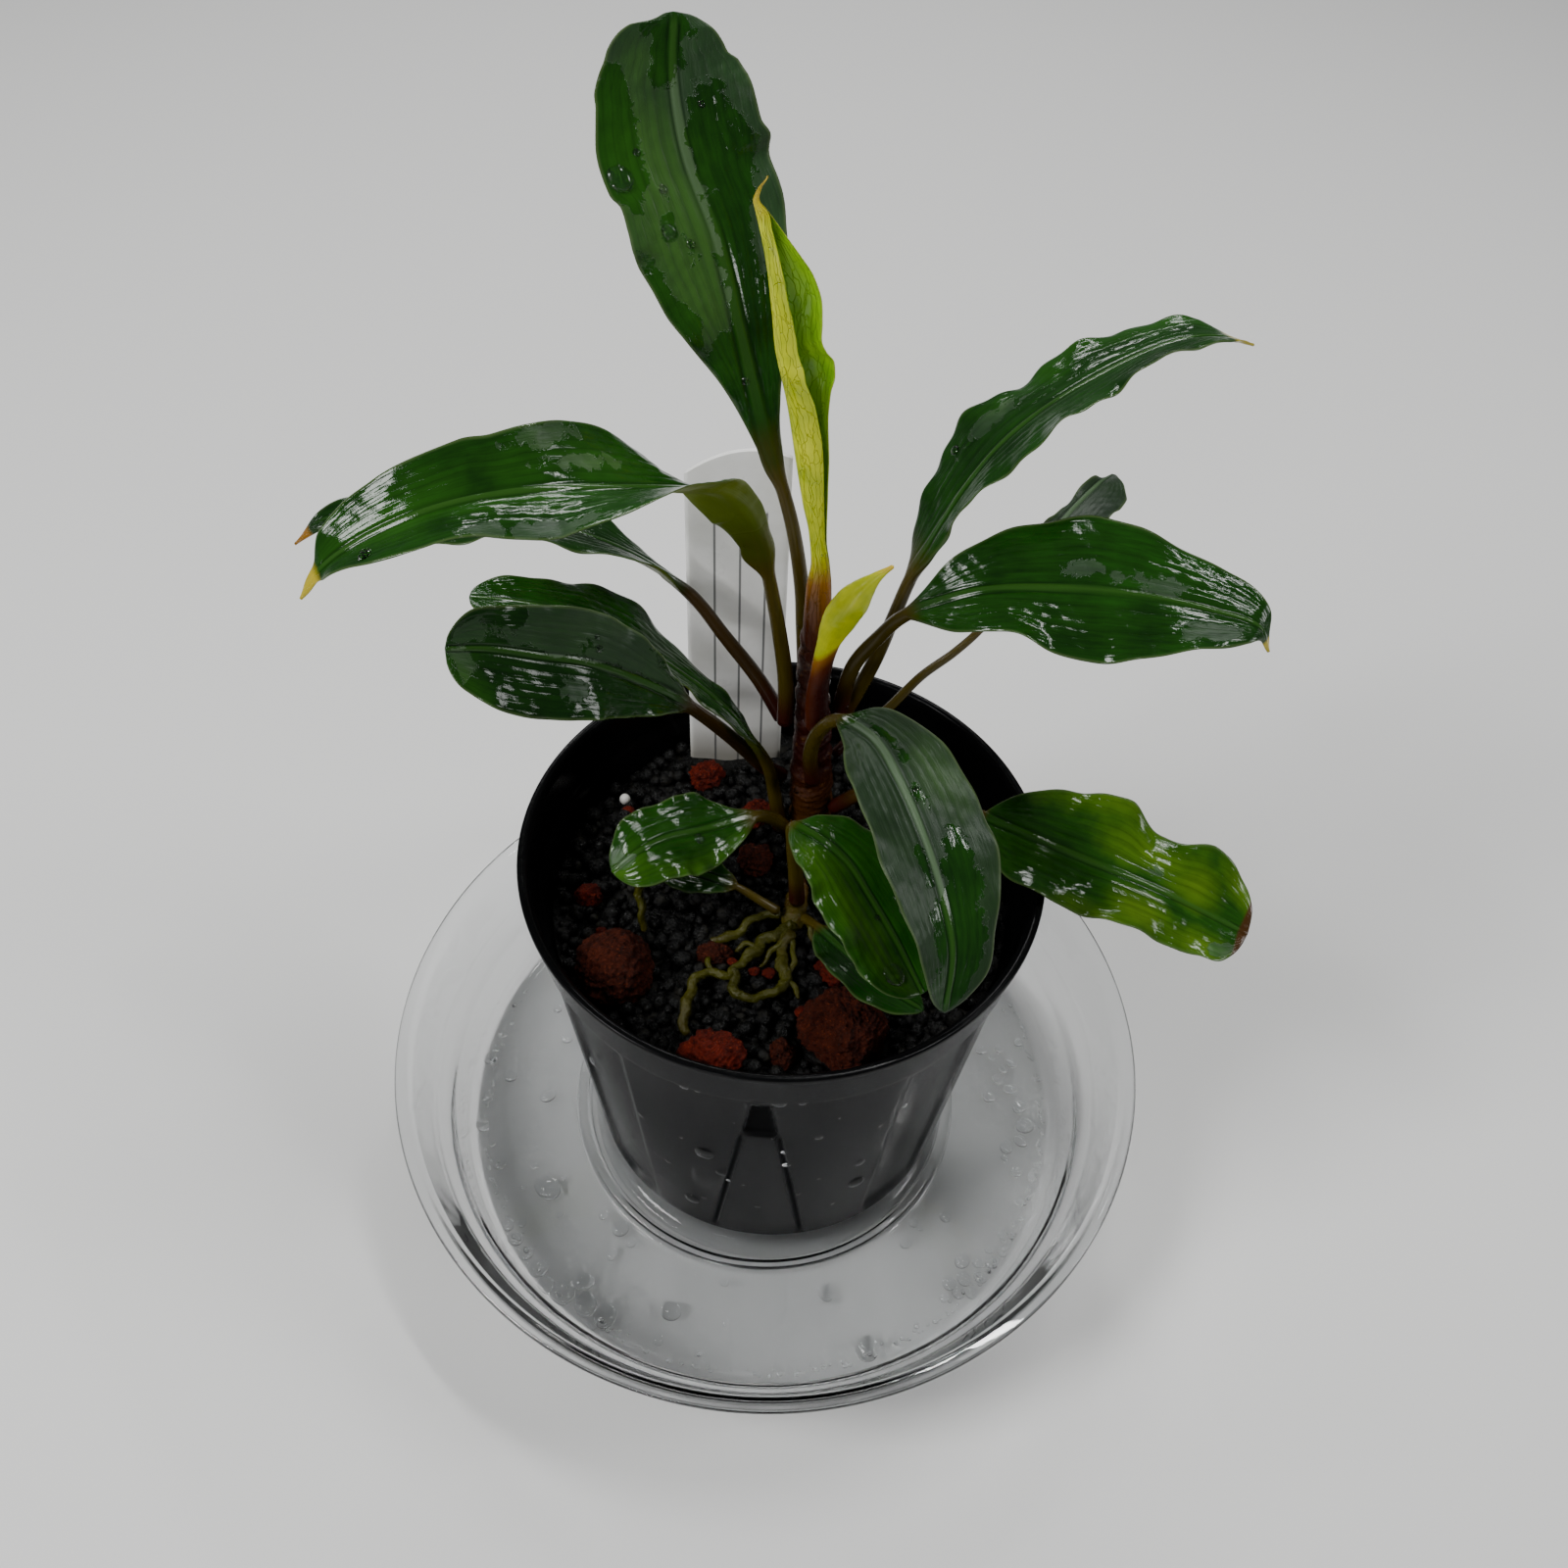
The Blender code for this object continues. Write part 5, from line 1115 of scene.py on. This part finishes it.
def blade_surface(leaf, seed):
    """Rings of points along one leaf, stalk then blade, and the fields that its finish reads.

    A ring's points run from right to left over the top and back underneath. At u across, a point
    lies half width × u to the side, lifted by the fold, the margins' waves, a flat midrib between
    two grooves, sunk side veins along the blade, and the blade's own thickness.
    """
    draw = np.random.default_rng(seed)
    curve, length, at_knot = curve_through(leaf["route"])
    start, end = at_knot[leaf["blade"]], length[-1]
    even = np.linspace(0, 1, int((end - start) * ROWS_PER_MM))
    t = 0.6 * even + 0.4 * (1 - np.cos(np.pi * even)) / 2
    stalk_steps = max(10, int(start * 1.2))
    below_blade = np.linspace(0, start, stalk_steps, endpoint=False)
    where = np.concatenate([below_blade, start + t * (end - start)])
    t = np.concatenate([np.zeros(stalk_steps), t])
    centre = points_at(curve, length, where)
    head = np.array([*leaf["head"], 0.0]) / np.hypot(*leaf["head"])
    side, up = frame_along(centre, np.cross(head, [0, 0, 1.0]))
    roll = np.radians(np.interp(t, np.linspace(0, 1, len(leaf["roll"])), leaf["roll"]))[:, None]
    side, up = side * np.cos(roll) + up * np.sin(roll), up * np.cos(roll) - side * np.sin(roll)

    even = np.linspace(0, 1, BLADE_COLUMNS)
    over = 0.7 * (1 - 2 * even) + 0.3 * np.cos(np.pi * even)
    beneath = np.cos(np.linspace(np.pi, 2 * np.pi, UNDER_COLUMNS + 2))[1:-1]
    u = np.concatenate([over, beneath])[None, :]
    below = (np.arange(BLADE_COLUMNS + UNDER_COLUMNS) >= BLADE_COLUMNS)[None, :].astype(float)
    face = np.sqrt(np.clip(1 - u ** 2, 0, 1)) * (1 - 2 * below)
    blade = np.where(u < 0, half_widths(leaf, t, -1)[:, None], half_widths(leaf, t, 1)[:, None])
    thin = leaf.get("stalk", STALK_RADIUS)
    stalk = (thin * np.where(t > 0, 1 - 0.8 * t, 1 + 0.3 * (1 - where / start)))[:, None]
    half = np.sqrt(blade ** 2 + stalk ** 2)
    t, where = t[:, None], where[:, None]
    flat = slope(0.0, 0.4 * leaf["width"], blade.min(axis=1)[:, None] + 0 * u)
    x = half * u

    aside = np.abs(x) / (leaf.get("rib", RIB_HALF) * (1 - 0.5 * t))
    rib = 1 - slope(0.8, 1.2, aside)
    groove = np.exp(-((aside - 1.65) / 0.4) ** 2)
    drift = 0.025 * np.sin(3.1 * t + 1.3 * np.sign(u)) + 0.012 * np.sin(11 * t + np.sign(u))
    side_veins = sum(deep * np.exp(-((np.abs(u) - place + drift) / 0.035) ** 2)
                     for place, deep in SIDE_VEINS)
    side_veins = side_veins * slope(0.02, 0.12, t) * (1 - slope(0.88, 1, t))
    side_veins = side_veins * slope(1.2, 2.2, np.abs(x))
    phases = draw.uniform(0, 6, 6)
    quilt = QUILT * (np.sin(0.55 * where + 0.9 * x + phases[0])
                     + np.sin(0.8 * where - 0.7 * x + phases[1])
                     + 0.7 * np.sin(1.9 * where + 1.5 * x + phases[2]) * np.sin(0.4 * where + phases[4])
                     + 0.35 * np.sin(3.1 * where - 2.2 * x + phases[5]))
    above = RIB_RISE * rib - GROOVE_DEPTH * groove - VEIN_DEPTH * side_veins
    above = above + quilt * slope(0.05, 0.5, np.abs(u))
    keel = KEEL * np.exp(-x ** 2) * (1 - 0.5 * t) * below
    edge = (1 - np.abs(u) ** 8) ** 0.5
    section = (1 - flat) * stalk * face + flat * (BLADE_HALF_THICK + keel) * edge * (1 - 2 * below)
    lift = half * flat * math.tan(math.radians(leaf["fold"])) * (np.sqrt(u ** 2 + 0.01) - 0.1)
    height, count, phase = leaf["wave"]
    swell = np.sqrt(np.clip(4 * t * (1 - t), 0, 1))
    turn = 2 * np.pi * count * t
    wave = height * swell * np.abs(u) ** 2.5 * np.sin(turn + phase + 1.7 * np.sign(u))
    ripple = RIPPLE * swell * np.abs(u) ** 5 * np.sin(2.6 * turn + phases[3] + 2.3 * np.sign(u))
    rise = section + lift + wave + ripple + above * flat * edge
    points = centre[:, None] + x[..., None] * side[:, None] + rise[..., None] * up[:, None]

    long, wide = end - start, leaf["width"]
    damp = -patches(leaf.get("dry", []), t, u, long, wide)
    damp = np.maximum(damp, patches(leaf.get("wet", []), t, u, long, wide))
    yellow = leaf.get("tip", 0.0)
    fields = {"damp": damp, "under": below * flat, "share": t,
              "rib": rib * flat * slope(-0.25, 0.45, t),
              "line": (groove + 0.5 * side_veins) * flat,
              "bright": patches(leaf.get("bright", []), t, u, long, wide),
              "margin": slope(0.45, 0.12, half * (1 - np.abs(u))) * flat,
              "tip": slope(1 - yellow, 1 - 0.4 * yellow, t) if yellow else 0.0,
              "stalk": (1 - slope(0.2, 2.2, blade.min(axis=1)[:, None])) * (t < 0.5),
              "foot": slope(min(9.0, 0.5 * start), 1.0, where) * (start > 12)}
    return *closed(points, centre[[0, -1]], inward=True), at_points(fields, x, where, u)


def spot_of(tree):
    """The place that the mesh keeps at each point: across, along, and a third number."""
    return add(tree, "ShaderNodeAttribute", attribute_name="spot").outputs["Vector"]


def leaf_finish(name, fresh, lively, yellow_green, tip, stalk_colour, dried_tone=1.0):
    """A leaf's skin: dark and glossy where wet, grey-green and dull where it has dried.

    The wet film's edges are ragged by noise and stand up a little. The midrib and margin are
    paler, long fine veins run beside it, and the stalk turns red brown at its foot.
    """
    made, tree, shader = finish_of(name, Base_Color=fresh, Roughness=0.3, IOR=1.34)
    at = place_in_mm(tree)
    spot = spot_of(tree)
    across = add(tree, "ShaderNodeSeparateXYZ", {0: spot}).outputs["Z"]
    across = add(tree, "ShaderNodeMath", {0: across}, operation="ABSOLUTE").outputs[0]
    cloud = speckle(tree, at, 0.14, 4.0)
    rag = speckle(tree, at, 0.42, 6.0, 0.62, 0.4)
    streak = speckle(tree, stretched(tree, spot, (2.4, 0.22, 1.0)), 1.0, 3.0, 0.6)
    cell = speckle(tree, at, 3.0, 3.0, 0.6)
    place = sum_of(tree, sum_of(tree, cloud, across, 9.0), streak, 0.7)
    fine = add(tree, "ShaderNodeMath", {0: place, 1: 0.5}, operation="PINGPONG").outputs[0]
    fine = times(tree, between(tree, fine, 0.0, 0.16, 1.0, 0.0), between(tree, across, 0.12, 0.25))

    damp = sum_of(tree, field(tree, "damp"), between(tree, rag, 0.2, 0.8, -1.5, 1.5), 1.0)
    wet = between(tree, damp, -0.10, 0.10)
    mottle = between(tree, sum_of(tree, cloud, streak, 0.6), 0.60, 1.05)
    bright = sum_of(tree, field(tree, "bright"), between(tree, cloud, 0.2, 0.8, -2.0, 2.0), 1.0)
    bright = between(tree, bright, -2.0, 2.5)
    dried = [tuple(dried_tone * c for c in tone) for tone in (DRIED, DRIED_LIGHT, DRIED_BRIGHT)]
    dull = mix_colour(tree, bright, mix_colour(tree, mottle, dried[0], dried[1]), dried[2])
    rich = mix_colour(tree, bright, mix_colour(tree, mottle, fresh, lively), yellow_green)
    body = mix_colour(tree, wet, dull, rich)
    dark = mix_colour(tree, wet, tuple(0.55 * c for c in DRIED), tuple(0.5 * c for c in fresh))
    pale = mix_colour(tree, wet, DRY_RIB, WET_RIB)
    body = mix_colour(tree, times(tree, field(tree, "line"), 0.75), body, dark)
    body = mix_colour(tree, times(tree, fine, 0.22), body, dark)
    body = mix_colour(tree, times(tree, field(tree, "rib"), 0.8), body, pale)
    body = mix_colour(tree, times(tree, field(tree, "margin"), 0.5), body, PALE_MARGIN)
    gold = between(tree, sum_of(tree, field(tree, "tip"), cloud, 0.4), 0.45, 0.9)
    body = mix_colour(tree, times(tree, gold, between(tree, field(tree, "tip"), 0.0, 0.2)), body, tip)
    body = mix_colour(tree, field(tree, "under"), body, mix_colour(tree, cloud, *UNDERSIDE))
    stalk = mix_colour(tree, streak, stalk_colour, tuple(0.45 * c for c in stalk_colour))
    stalk = mix_colour(tree, field(tree, "foot"), stalk, STALK_FOOT)
    body = mix_colour(tree, field(tree, "stalk"), body, stalk)
    gloss = mix_colour(tree, wet, (DULL,) * 3, (GLOSSY,) * 3)
    gloss = mix_colour(tree, field(tree, "stalk"), gloss, (STALK_GLOSS,) * 3)
    gloss = mix_colour(tree, field(tree, "under"), gloss, (DULL,) * 3)
    paint(tree, shader, Base_Color=body, Roughness=gloss)
    skin = sum_of(tree, sum_of(tree, times(tree, cell, 0.32), times(tree, wet, 1.2)), fine, -0.2)
    dry_streak = times(tree, streak, between(tree, wet, 0.0, 1.0, 1.0, 0.15))
    relief(tree, shader, sum_of(tree, skin, dry_streak), 0.055)
    return made


DRIED, DRIED_LIGHT, DRIED_BRIGHT = (0.013, 0.036, 0.012), (0.020, 0.056, 0.015), (0.034, 0.098, 0.014)
DRY_RIB, WET_RIB, PALE_MARGIN = (0.064, 0.115, 0.050), (0.022, 0.070, 0.009), (0.080, 0.120, 0.040)
UNDERSIDE, STALK_FOOT = ((0.052, 0.078, 0.004), (0.115, 0.150, 0.007)), (0.034, 0.005, 0.003)
DULL, GLOSSY, STALK_GLOSS = 0.40, 0.06, 0.22
OLIVE_STALK, BROWN_STALK = (0.078, 0.056, 0.005), (0.040, 0.021, 0.004)
YELLOW_TIP, RUSTY_TIP, BROWN_TIP = (0.40, 0.32, 0.02), (0.22, 0.10, 0.008), (0.045, 0.020, 0.005)
LEAF_SKINS = {             # fresh, lively and yellow-green blade, tip, stalk, and how dark it dries
    "green_leaf": ((0.0035, 0.023, 0.0020), (0.009, 0.054, 0.004), (0.014, 0.072, 0.005),
                   YELLOW_TIP, OLIVE_STALK),
    # shaded_leaf is a darker copy of green_leaf's blade greens: painted shade for the leaves that use
    # it.
    "shaded_leaf": ((0.0028, 0.018, 0.0020), (0.007, 0.040, 0.003), (0.012, 0.058, 0.004),
                    RUSTY_TIP, BROWN_STALK),
    "light_leaf": ((0.0055, 0.034, 0.0022), (0.014, 0.074, 0.004), (0.066, 0.135, 0.006),
                   BROWN_TIP, OLIVE_STALK),
    "small_leaf": ((0.0045, 0.032, 0.0020), (0.012, 0.066, 0.004), (0.040, 0.115, 0.006),
                   YELLOW_TIP, OLIVE_STALK),
    "front_leaf": ((0.0030, 0.020, 0.0020), (0.008, 0.046, 0.004), (0.014, 0.072, 0.005),
                   YELLOW_TIP, OLIVE_STALK, 0.6),
}
LEAF_FINISHES = {"leaf_front": "front_leaf", "leaf_right_back": "front_leaf",
                 "leaf_left_behind": "shaded_leaf", "leaf_left_low": "shaded_leaf",
                 "leaf_right_low": "light_leaf", "leaf_front_under": "small_leaf",
                 "leaf_left_small": "small_leaf"}
LEAF_DROPS = {             # share along the blade, place across and radius of the drops on a leaf
    "leaf_tall": [(0.735, -0.80, 1.4), (0.63, -0.52, 0.8), (0.585, -0.33, 0.5), (0.70, -0.42, 0.5),
                  (0.28, -0.2, 0.5), (0.83, 0.30, 0.4), (0.77, -0.55, 0.4)],
    "leaf_left_small": [(0.41, -0.20, 0.75)],
    "leaf_front_under": [(0.86, 0.42, 1.5), (0.60, 0.10, 0.4)],
    "leaf_front": [(0.35, -0.19, 0.5)],
    "leaf_left_low": [(0.50, 0.30, 0.5), (0.52, 0.52, 0.35)],
    "leaf_right_upper": [(0.30, -0.70, 0.7)],
    "leaf_left_arching": [(0.86, -0.6, 0.8)],
}
unit, unit_faces = ball(9, 18)
drops = []
skins = {}


def drop_near(points, place, radius):
    """A drop on the mesh: flat against the plane through the points that lie closest to place."""
    close = points[np.argsort(np.linalg.norm(points - place, axis=1))[:24]]
    middle = close.mean(axis=0)
    outward = np.linalg.svd(close - middle)[2][2]
    outward = outward * np.sign(outward @ (np.array(CAMERA_PLACE) - middle))
    longways = np.cross(outward, (0.6, 0.3, 0.74))
    axes = [v[None] / np.linalg.norm(v) for v in (outward, longways)]
    return drops_on(unit, middle[None], *axes, np.array([[1.15, 1.0, 0.42]]) * radius)[0], unit_faces


for name, look in LEAF_SKINS.items():
    skins[name] = leaf_finish(name, *look)
for index, (name, leaf) in enumerate(LEAVES.items()):
    points, faces, fields = blade_surface(leaf, 40 + index)
    skin = skins[LEAF_FINISHES.get(name, "green_leaf")]
    settle(surface(name + "_blade", points, faces, skin, fields), "leaf", name)
    for along, across, radius in LEAF_DROPS.get(name, []):
        blade = (fields["share"] > 0) & (fields["under"] < 0.5)
        apart = np.hypot((fields["share"] - along) * 40, (fields["spot"][:, 2] - across) * 8)
        apart = apart + 99 * ~blade
        drops.append(drop_near(points[blade], points[np.argmin(apart)], radius))
    stem_points.append(points[fields["stalk"] > 0.9])

# Young leaf and bud
# The newest leaf is still rolled lengthways into a bright yellow-green horn with a net of veins,
# one waved margin standing out behind the other. Beside it a furled bud has just come up. The
# last drops, on the stem and stalks, join those of the leaves.
YOUNG_ROUTE = [(4.2, 15.0, 90.2), (3.9, 15.2, 101), (3.5, 16, 111), (2.6, 17, 122.7),
               (0.9, 18, 136), (-1.7, 19, 148), (-3.9, 20, 156.5), (-5, 20, 160.5)]
YOUNG_LEFT = [(0, -1.7), (0.15, -1.7), (0.25, -1.35), (0.31, -0.7), (0.37, -0.9), (0.43, -1.5),
              (0.545, -2.1), (0.62, -2.3), (0.722, -2.6), (0.79, -2.1), (0.89, -1.45),
              (0.94, -1.36), (0.965, -1.35), (0.985, -0.5), (1, 0.75)]
YOUNG_RIGHT = [(0, 1.9), (0.15, 2.1), (0.25, 2.0), (0.30, 1.75), (0.35, 1.4), (0.45, 1.75),
               (0.513, 2.1), (0.585, 2.35), (0.637, 3.0), (0.665, 3.75), (0.69, 3.9), (0.71, 3.2),
               (0.727, 2.9), (0.76, 3.35), (0.797, 3.7), (0.835, 3.35), (0.87, 2.4), (0.90, 1.45),
               (0.933, 0.42), (0.95, -0.1), (0.967, -0.6), (0.985, 0.0), (1, 0.95)]
# How far across, from left to right, the margin that lies over the other reaches.
YOUNG_FRONT = [(0, 0.97), (0.3, 0.97), (0.38, 0.88), (0.47, 0.84), (0.55, 0.82), (0.585, 0.765),
               (0.627, 0.65), (0.675, 0.45), (0.731, 0.48), (0.778, 0.41), (0.814, 0.36),
               (0.85, 0.38), (0.883, 0.45), (0.92, 0.62), (0.95, 0.97), (1, 0.97)]
YOUNG_ROWS, YOUNG_COLUMNS, YOUNG_THICK = 300, 85, (0.20, 0.12)
STEM_DROPS = [             # place and radius of the drops that hang on the stem and stalks
    (5.2, 13.8, 113.9, 0.35), (5.7, 13.9, 111.6, 0.3), (6.5, 11.0, 95.7, 0.3),
    (9.2, 12.2, 88.8, 0.4), (5.6, 11.4, 81, 0.45), (6.0, 11.3, 77.4, 0.4), (2.0, 11.6, 71.3, 0.55),
    (4.2, 11.2, 72.9, 0.45), (1.2, 19.0, 97.6, 0.3), (-0.7, 12.0, 88.7, 0.3),
    (4.3, 11.6, 84.3, 0.35)]
BUD_ROUTE = [(4.9, 11.4, 85.2), (4.7, 11.6, 94), (6.2, 11.5, 104.6), (8.8, 11.2, 110.8),
             (11.0, 11.1, 114.2), (13.0, 11, 116.3)]
BUD_RADII = [1.7, 1.65, 1.6, 1.5, 1.4, 1.4, 1.5, 1.9, 2.25, 2.2, 1.55, 0.7, 0.28]
BUD_COLUMNS, BUD_ACROSS = 64, (0.94, 0.0, -0.34)
HORN, HORN_VEIN = ((0.34, 0.42, 0.002), (0.62, 0.66, 0.005)), (0.16, 0.20, 0.002)
# The inner side's own green is painted brighter, as light shining through the thin leaf.
HORN_INSIDE_GREEN_AND_LIGHT, HORN_MARGIN = ((0.18, 0.42, 0.004), (0.30, 0.56, 0.008)), (0.50, 0.62, 0.03)
HORN_FOOT, HORN_SHEATH = ((0.028, 0.003, 0.002), (0.100, 0.018, 0.002)), (0.30, 0.115, 0.004)
HORN_TIP = (0.60, 0.42, 0.03)


def rolled_sheet():
    """The young leaf: a sheet bent round its route, open to the front right above its foot.

    Its section is part of an ellipse between the left and right edges: from the margin that
    stands out at the right, round the back and left, to the margin that lies over it in front.
    """
    curve, length, _ = curve_through(YOUNG_ROUTE)
    t = np.linspace(0, 1, YOUNG_ROWS)
    centre = points_at(curve, length, t * length[-1])
    side, up = frame_along(centre, np.array([1.0, 0.0, 0.0]))
    left, right, front = (smooth_through(known, t)[:, None]
                          for known in (YOUNG_LEFT, YOUNG_RIGHT, YOUNG_FRONT))
    t = t[:, None]
    middle, half = (left + right) / 2, (right - left) / 2
    last = 2 * np.pi - np.arccos(2 * front - 1)
    share = np.linspace(0, 1, YOUNG_COLUMNS)[None, :]
    turn = 0.12 + (last - 0.12) * share
    standing = (1 - share) ** 5
    fine = 0.03 * np.sin(50 * t + 9 * share) * np.sin(23 * share + 18 * t)
    deep = (0.55 + 0.35 * slope(0.7, 0.2, t)) * half * (1 + 0.5 * standing * np.sin(41 * t))
    deep = deep * (1 + fine) * (1 - 0.25 * share)
    thick = (YOUNG_THICK[0] - YOUNG_THICK[1] * t) * np.clip(half / 0.8, 0.3, 1)
    x, y = (np.concatenate([outer, inner[:, ::-1]], axis=1) for outer, inner in (
        (middle + half * np.cos(turn), middle + (half - thick) * np.cos(turn)),
        (deep * np.sin(turn), (deep - thick) * np.sin(turn))))
    points = centre[:, None] + x[..., None] * side[:, None] - y[..., None] * up[:, None]
    inner = np.repeat([0.0, 1.0], YOUNG_COLUMNS)[None, :]
    across = np.concatenate([share, share[:, ::-1]], axis=1)
    margin = slope(0.035, 0.0, np.minimum(across, 1 - across)) * slope(0.25, 0.35, t)
    fields = at_points({"inner": inner, "along": t, "veins": 1.0, "margin": margin},
                       8 * across, t * length[-1], 5 * inner)
    return *closed(points, points[[0, -1]].mean(axis=1)), fields


def young_finish():
    """Tender yellow-green skin with a net of darker veins; red brown foot, and a green inner side
    painted brighter, as light that shines through the thin leaf.
    """
    made, tree, shader = finish_of("young_leaf_skin", Base_Color=(0.5, 0.55, 0.04),
                                   Roughness=0.35, IOR=1.42)
    at = place_in_mm(tree)
    along = field(tree, "along")
    waver = add(tree, "ShaderNodeTexNoise", {"Vector": at, "Scale": 0.5, "Detail": 3.0})
    bent = add(tree, "ShaderNodeVectorMath", {0: stretched(tree, spot_of(tree), (1.5, 0.20, 1.0)),
                                              1: waver.outputs["Color"]}, operation="ADD").outputs[0]
    net = add(tree, "ShaderNodeTexVoronoi", {"Vector": bent, "Scale": 1.5}, feature="DISTANCE_TO_EDGE")
    net = net.outputs["Distance"]
    cloud = speckle(tree, at, 0.25, 3.0)
    skin = mix_colour(tree, between(tree, cloud, 0.3, 0.7), *HORN)
    veins = times(tree, between(tree, net, 0.0, 0.05, 0.5, 0.0), field(tree, "veins"))
    skin = mix_colour(tree, veins, skin, HORN_VEIN)
    # Inner side: its own green, painted brighter as light that shines through the thin leaf.
    inside = mix_colour(tree, between(tree, cloud, 0.3, 0.7), *HORN_INSIDE_GREEN_AND_LIGHT)
    skin = mix_colour(tree, field(tree, "inner"), skin, inside)
    skin = mix_colour(tree, times(tree, field(tree, "margin"), 0.5), skin, HORN_MARGIN)
    height = sum_of(tree, along, cloud, 0.08)
    foot = mix_colour(tree, between(tree, height, 0.06, 0.24), *HORN_FOOT)
    foot = mix_colour(tree, between(tree, height, 0.20, 0.32), foot, HORN_SHEATH)
    skin = mix_colour(tree, between(tree, height, 0.30, 0.37), foot, skin)
    skin = mix_colour(tree, between(tree, along, 0.93, 0.99), skin, HORN_TIP)
    paint(tree, shader, Base_Color=skin, Roughness=between(tree, cloud, 0.3, 0.7, 0.25, 0.42))
    relief(tree, shader, sum_of(tree, times(tree, veins, -2.0), cloud, 0.3), 0.07)
    return made


young_skin = young_finish()
points, faces, fields = rolled_sheet()
stem_points.append(points[(fields["along"] < 0.45) & (fields["inner"] < 0.5)])
young = surface("young_leaf_roll", points, faces, young_skin, fields)
settle(young, "young_leaf", "leaf_young")

points, faces, along = tube(BUD_ROUTE, BUD_RADII, BUD_COLUMNS, 0.2, 0.0, 0.008)
middle = points[:-2].reshape(-1, BUD_COLUMNS, 3).mean(axis=1).repeat(BUD_COLUMNS, axis=0)
reach = np.append((points[:-2] - middle) @ np.array(BUD_ACROSS), [0, 0])
height = np.interp(along, [0, 0.30, 0.42, 0.56, 1], [0, 0.04, 0.20, 0.40, 1])
fields = {"along": np.clip(height - 0.07 * reach, 0, 1), "inner": 0 * along, "margin": 0 * along,
          "veins": 0.2 + 0 * along, "spot": np.column_stack([reach, 30 * along, 0 * along])}
stem_points.append(points)
bud = surface("bud_horn", points, faces, young_skin, fields)
settle(bud, "young_leaf", "leaf_bud")

stem_points = np.vstack(stem_points)
drops += [drop_near(stem_points, np.array(place), radius) for *place, radius in STEM_DROPS]
settle(surface("plant_drops", *joined(*drops), water_finish), None)

# Label
# A thin white plastic plant label with an arched top stands in the soil behind the stem.
# Only plain ruled lines for writing on are printed on it.
LABEL_X, LABEL_Y, LABEL_HALF, LABEL_FOOT, LABEL_TOP = -7.4, 27.6, 7.2, 34.0, 119.6
LABEL_TURN, LABEL_THICK, LABEL_POINT = math.radians(4), 0.35, 9.0
LABEL_ROWS, LABEL_COLUMNS = 120, 25
LABEL_ARCH, LABEL_SLANT = 2.4, 1.3     # how far its top falls to both edges, and on to the left
LINES, LINE_HALF, LINE_TOP = (-3.2, 0.4, 4.0), 0.16, 110.0     # places across of the ruled lines


def label_sheet():
    """The label: rows up its height, each running across the front and back over the back.

    Its half width tapers to a point at the foot, and its top falls by arch × u^2 - slant × u at u
    across. It leans back a little and bows by a few tenths of a millimetre.
    """
    rise = np.append(np.sin(np.pi / 2 * np.linspace(0, 1, LABEL_ROWS)), 1.0)[:, None]
    across = np.linspace(-1, 1, LABEL_COLUMNS)
    u = np.concatenate([across, across[::-1]])[None, :]
    front = np.repeat([-1.0, 1.0], LABEL_COLUMNS)[None, :]
    top = LABEL_TOP - LABEL_ARCH * u ** 2 + LABEL_SLANT * u
    z = LABEL_FOOT + (top - LABEL_FOOT) * rise
    x = LABEL_HALF * np.clip((LABEL_TOP - LABEL_FOOT) * rise / LABEL_POINT, 0.01, 1) * u
    thin = LABEL_THICK * np.where(np.abs(u) > 0.999, 0.55, 1.0)
    thin = thin * np.append(np.ones(LABEL_ROWS), 0.02)[:, None]
    y = front * thin + 0.25 * np.sin(2.2 * z / LABEL_TOP) + 0.15 * u ** 2
    turned_x = x * math.cos(LABEL_TURN) - y * math.sin(LABEL_TURN) + LABEL_X
    turned_y = x * math.sin(LABEL_TURN) + y * math.cos(LABEL_TURN) + LABEL_Y + 0.012 * (z - SOIL_TOP)
    points = np.stack([turned_x, turned_y, z], axis=-1)
    return *closed(points, points[[0, -1]].mean(axis=1)), at_points({}, x, z, 0.0)


label_finish, tree, shader = finish_of("white_label", Base_Color=(0.78, 0.78, 0.76), Roughness=0.4)
spot = add(tree, "ShaderNodeSeparateXYZ", {0: spot_of(tree)}).outputs
at = place_in_mm(tree)
smudge = speckle(tree, at, 0.12, 4.0, 0.6)
white = mix_colour(tree, between(tree, smudge, 0.4, 0.75), (0.92, 0.92, 0.90), (0.78, 0.78, 0.74))
damp_foot = between(tree, sum_of(tree, spot["Y"], smudge, 4.0), 63, 70, 0.75, 0.0)
white = mix_colour(tree, damp_foot, white, (0.20, 0.18, 0.13))
for line in LINES:
    on_line = add(tree, "ShaderNodeMath", {0: spot["X"], 1: line, 2: LINE_HALF}, operation="COMPARE")
    below_end = between(tree, spot["Y"], LINE_TOP - 0.5, LINE_TOP, 1.0, 0.0)
    ink = times(tree, times(tree, on_line.outputs[0], below_end), 0.8)
    white = mix_colour(tree, ink, white, (0.06, 0.06, 0.065))
paint(tree, shader, Base_Color=white, Roughness=between(tree, smudge, 0.3, 0.7, 0.25, 0.5))
relief(tree, shader, smudge, 0.1)
points, faces, fields = label_sheet()
settle(surface("white_label", points, faces, label_finish, fields), "label", "plant_label")

size = {"cad": [list(cad_low), list(cad_high)], "visual": [list(v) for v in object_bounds()]}
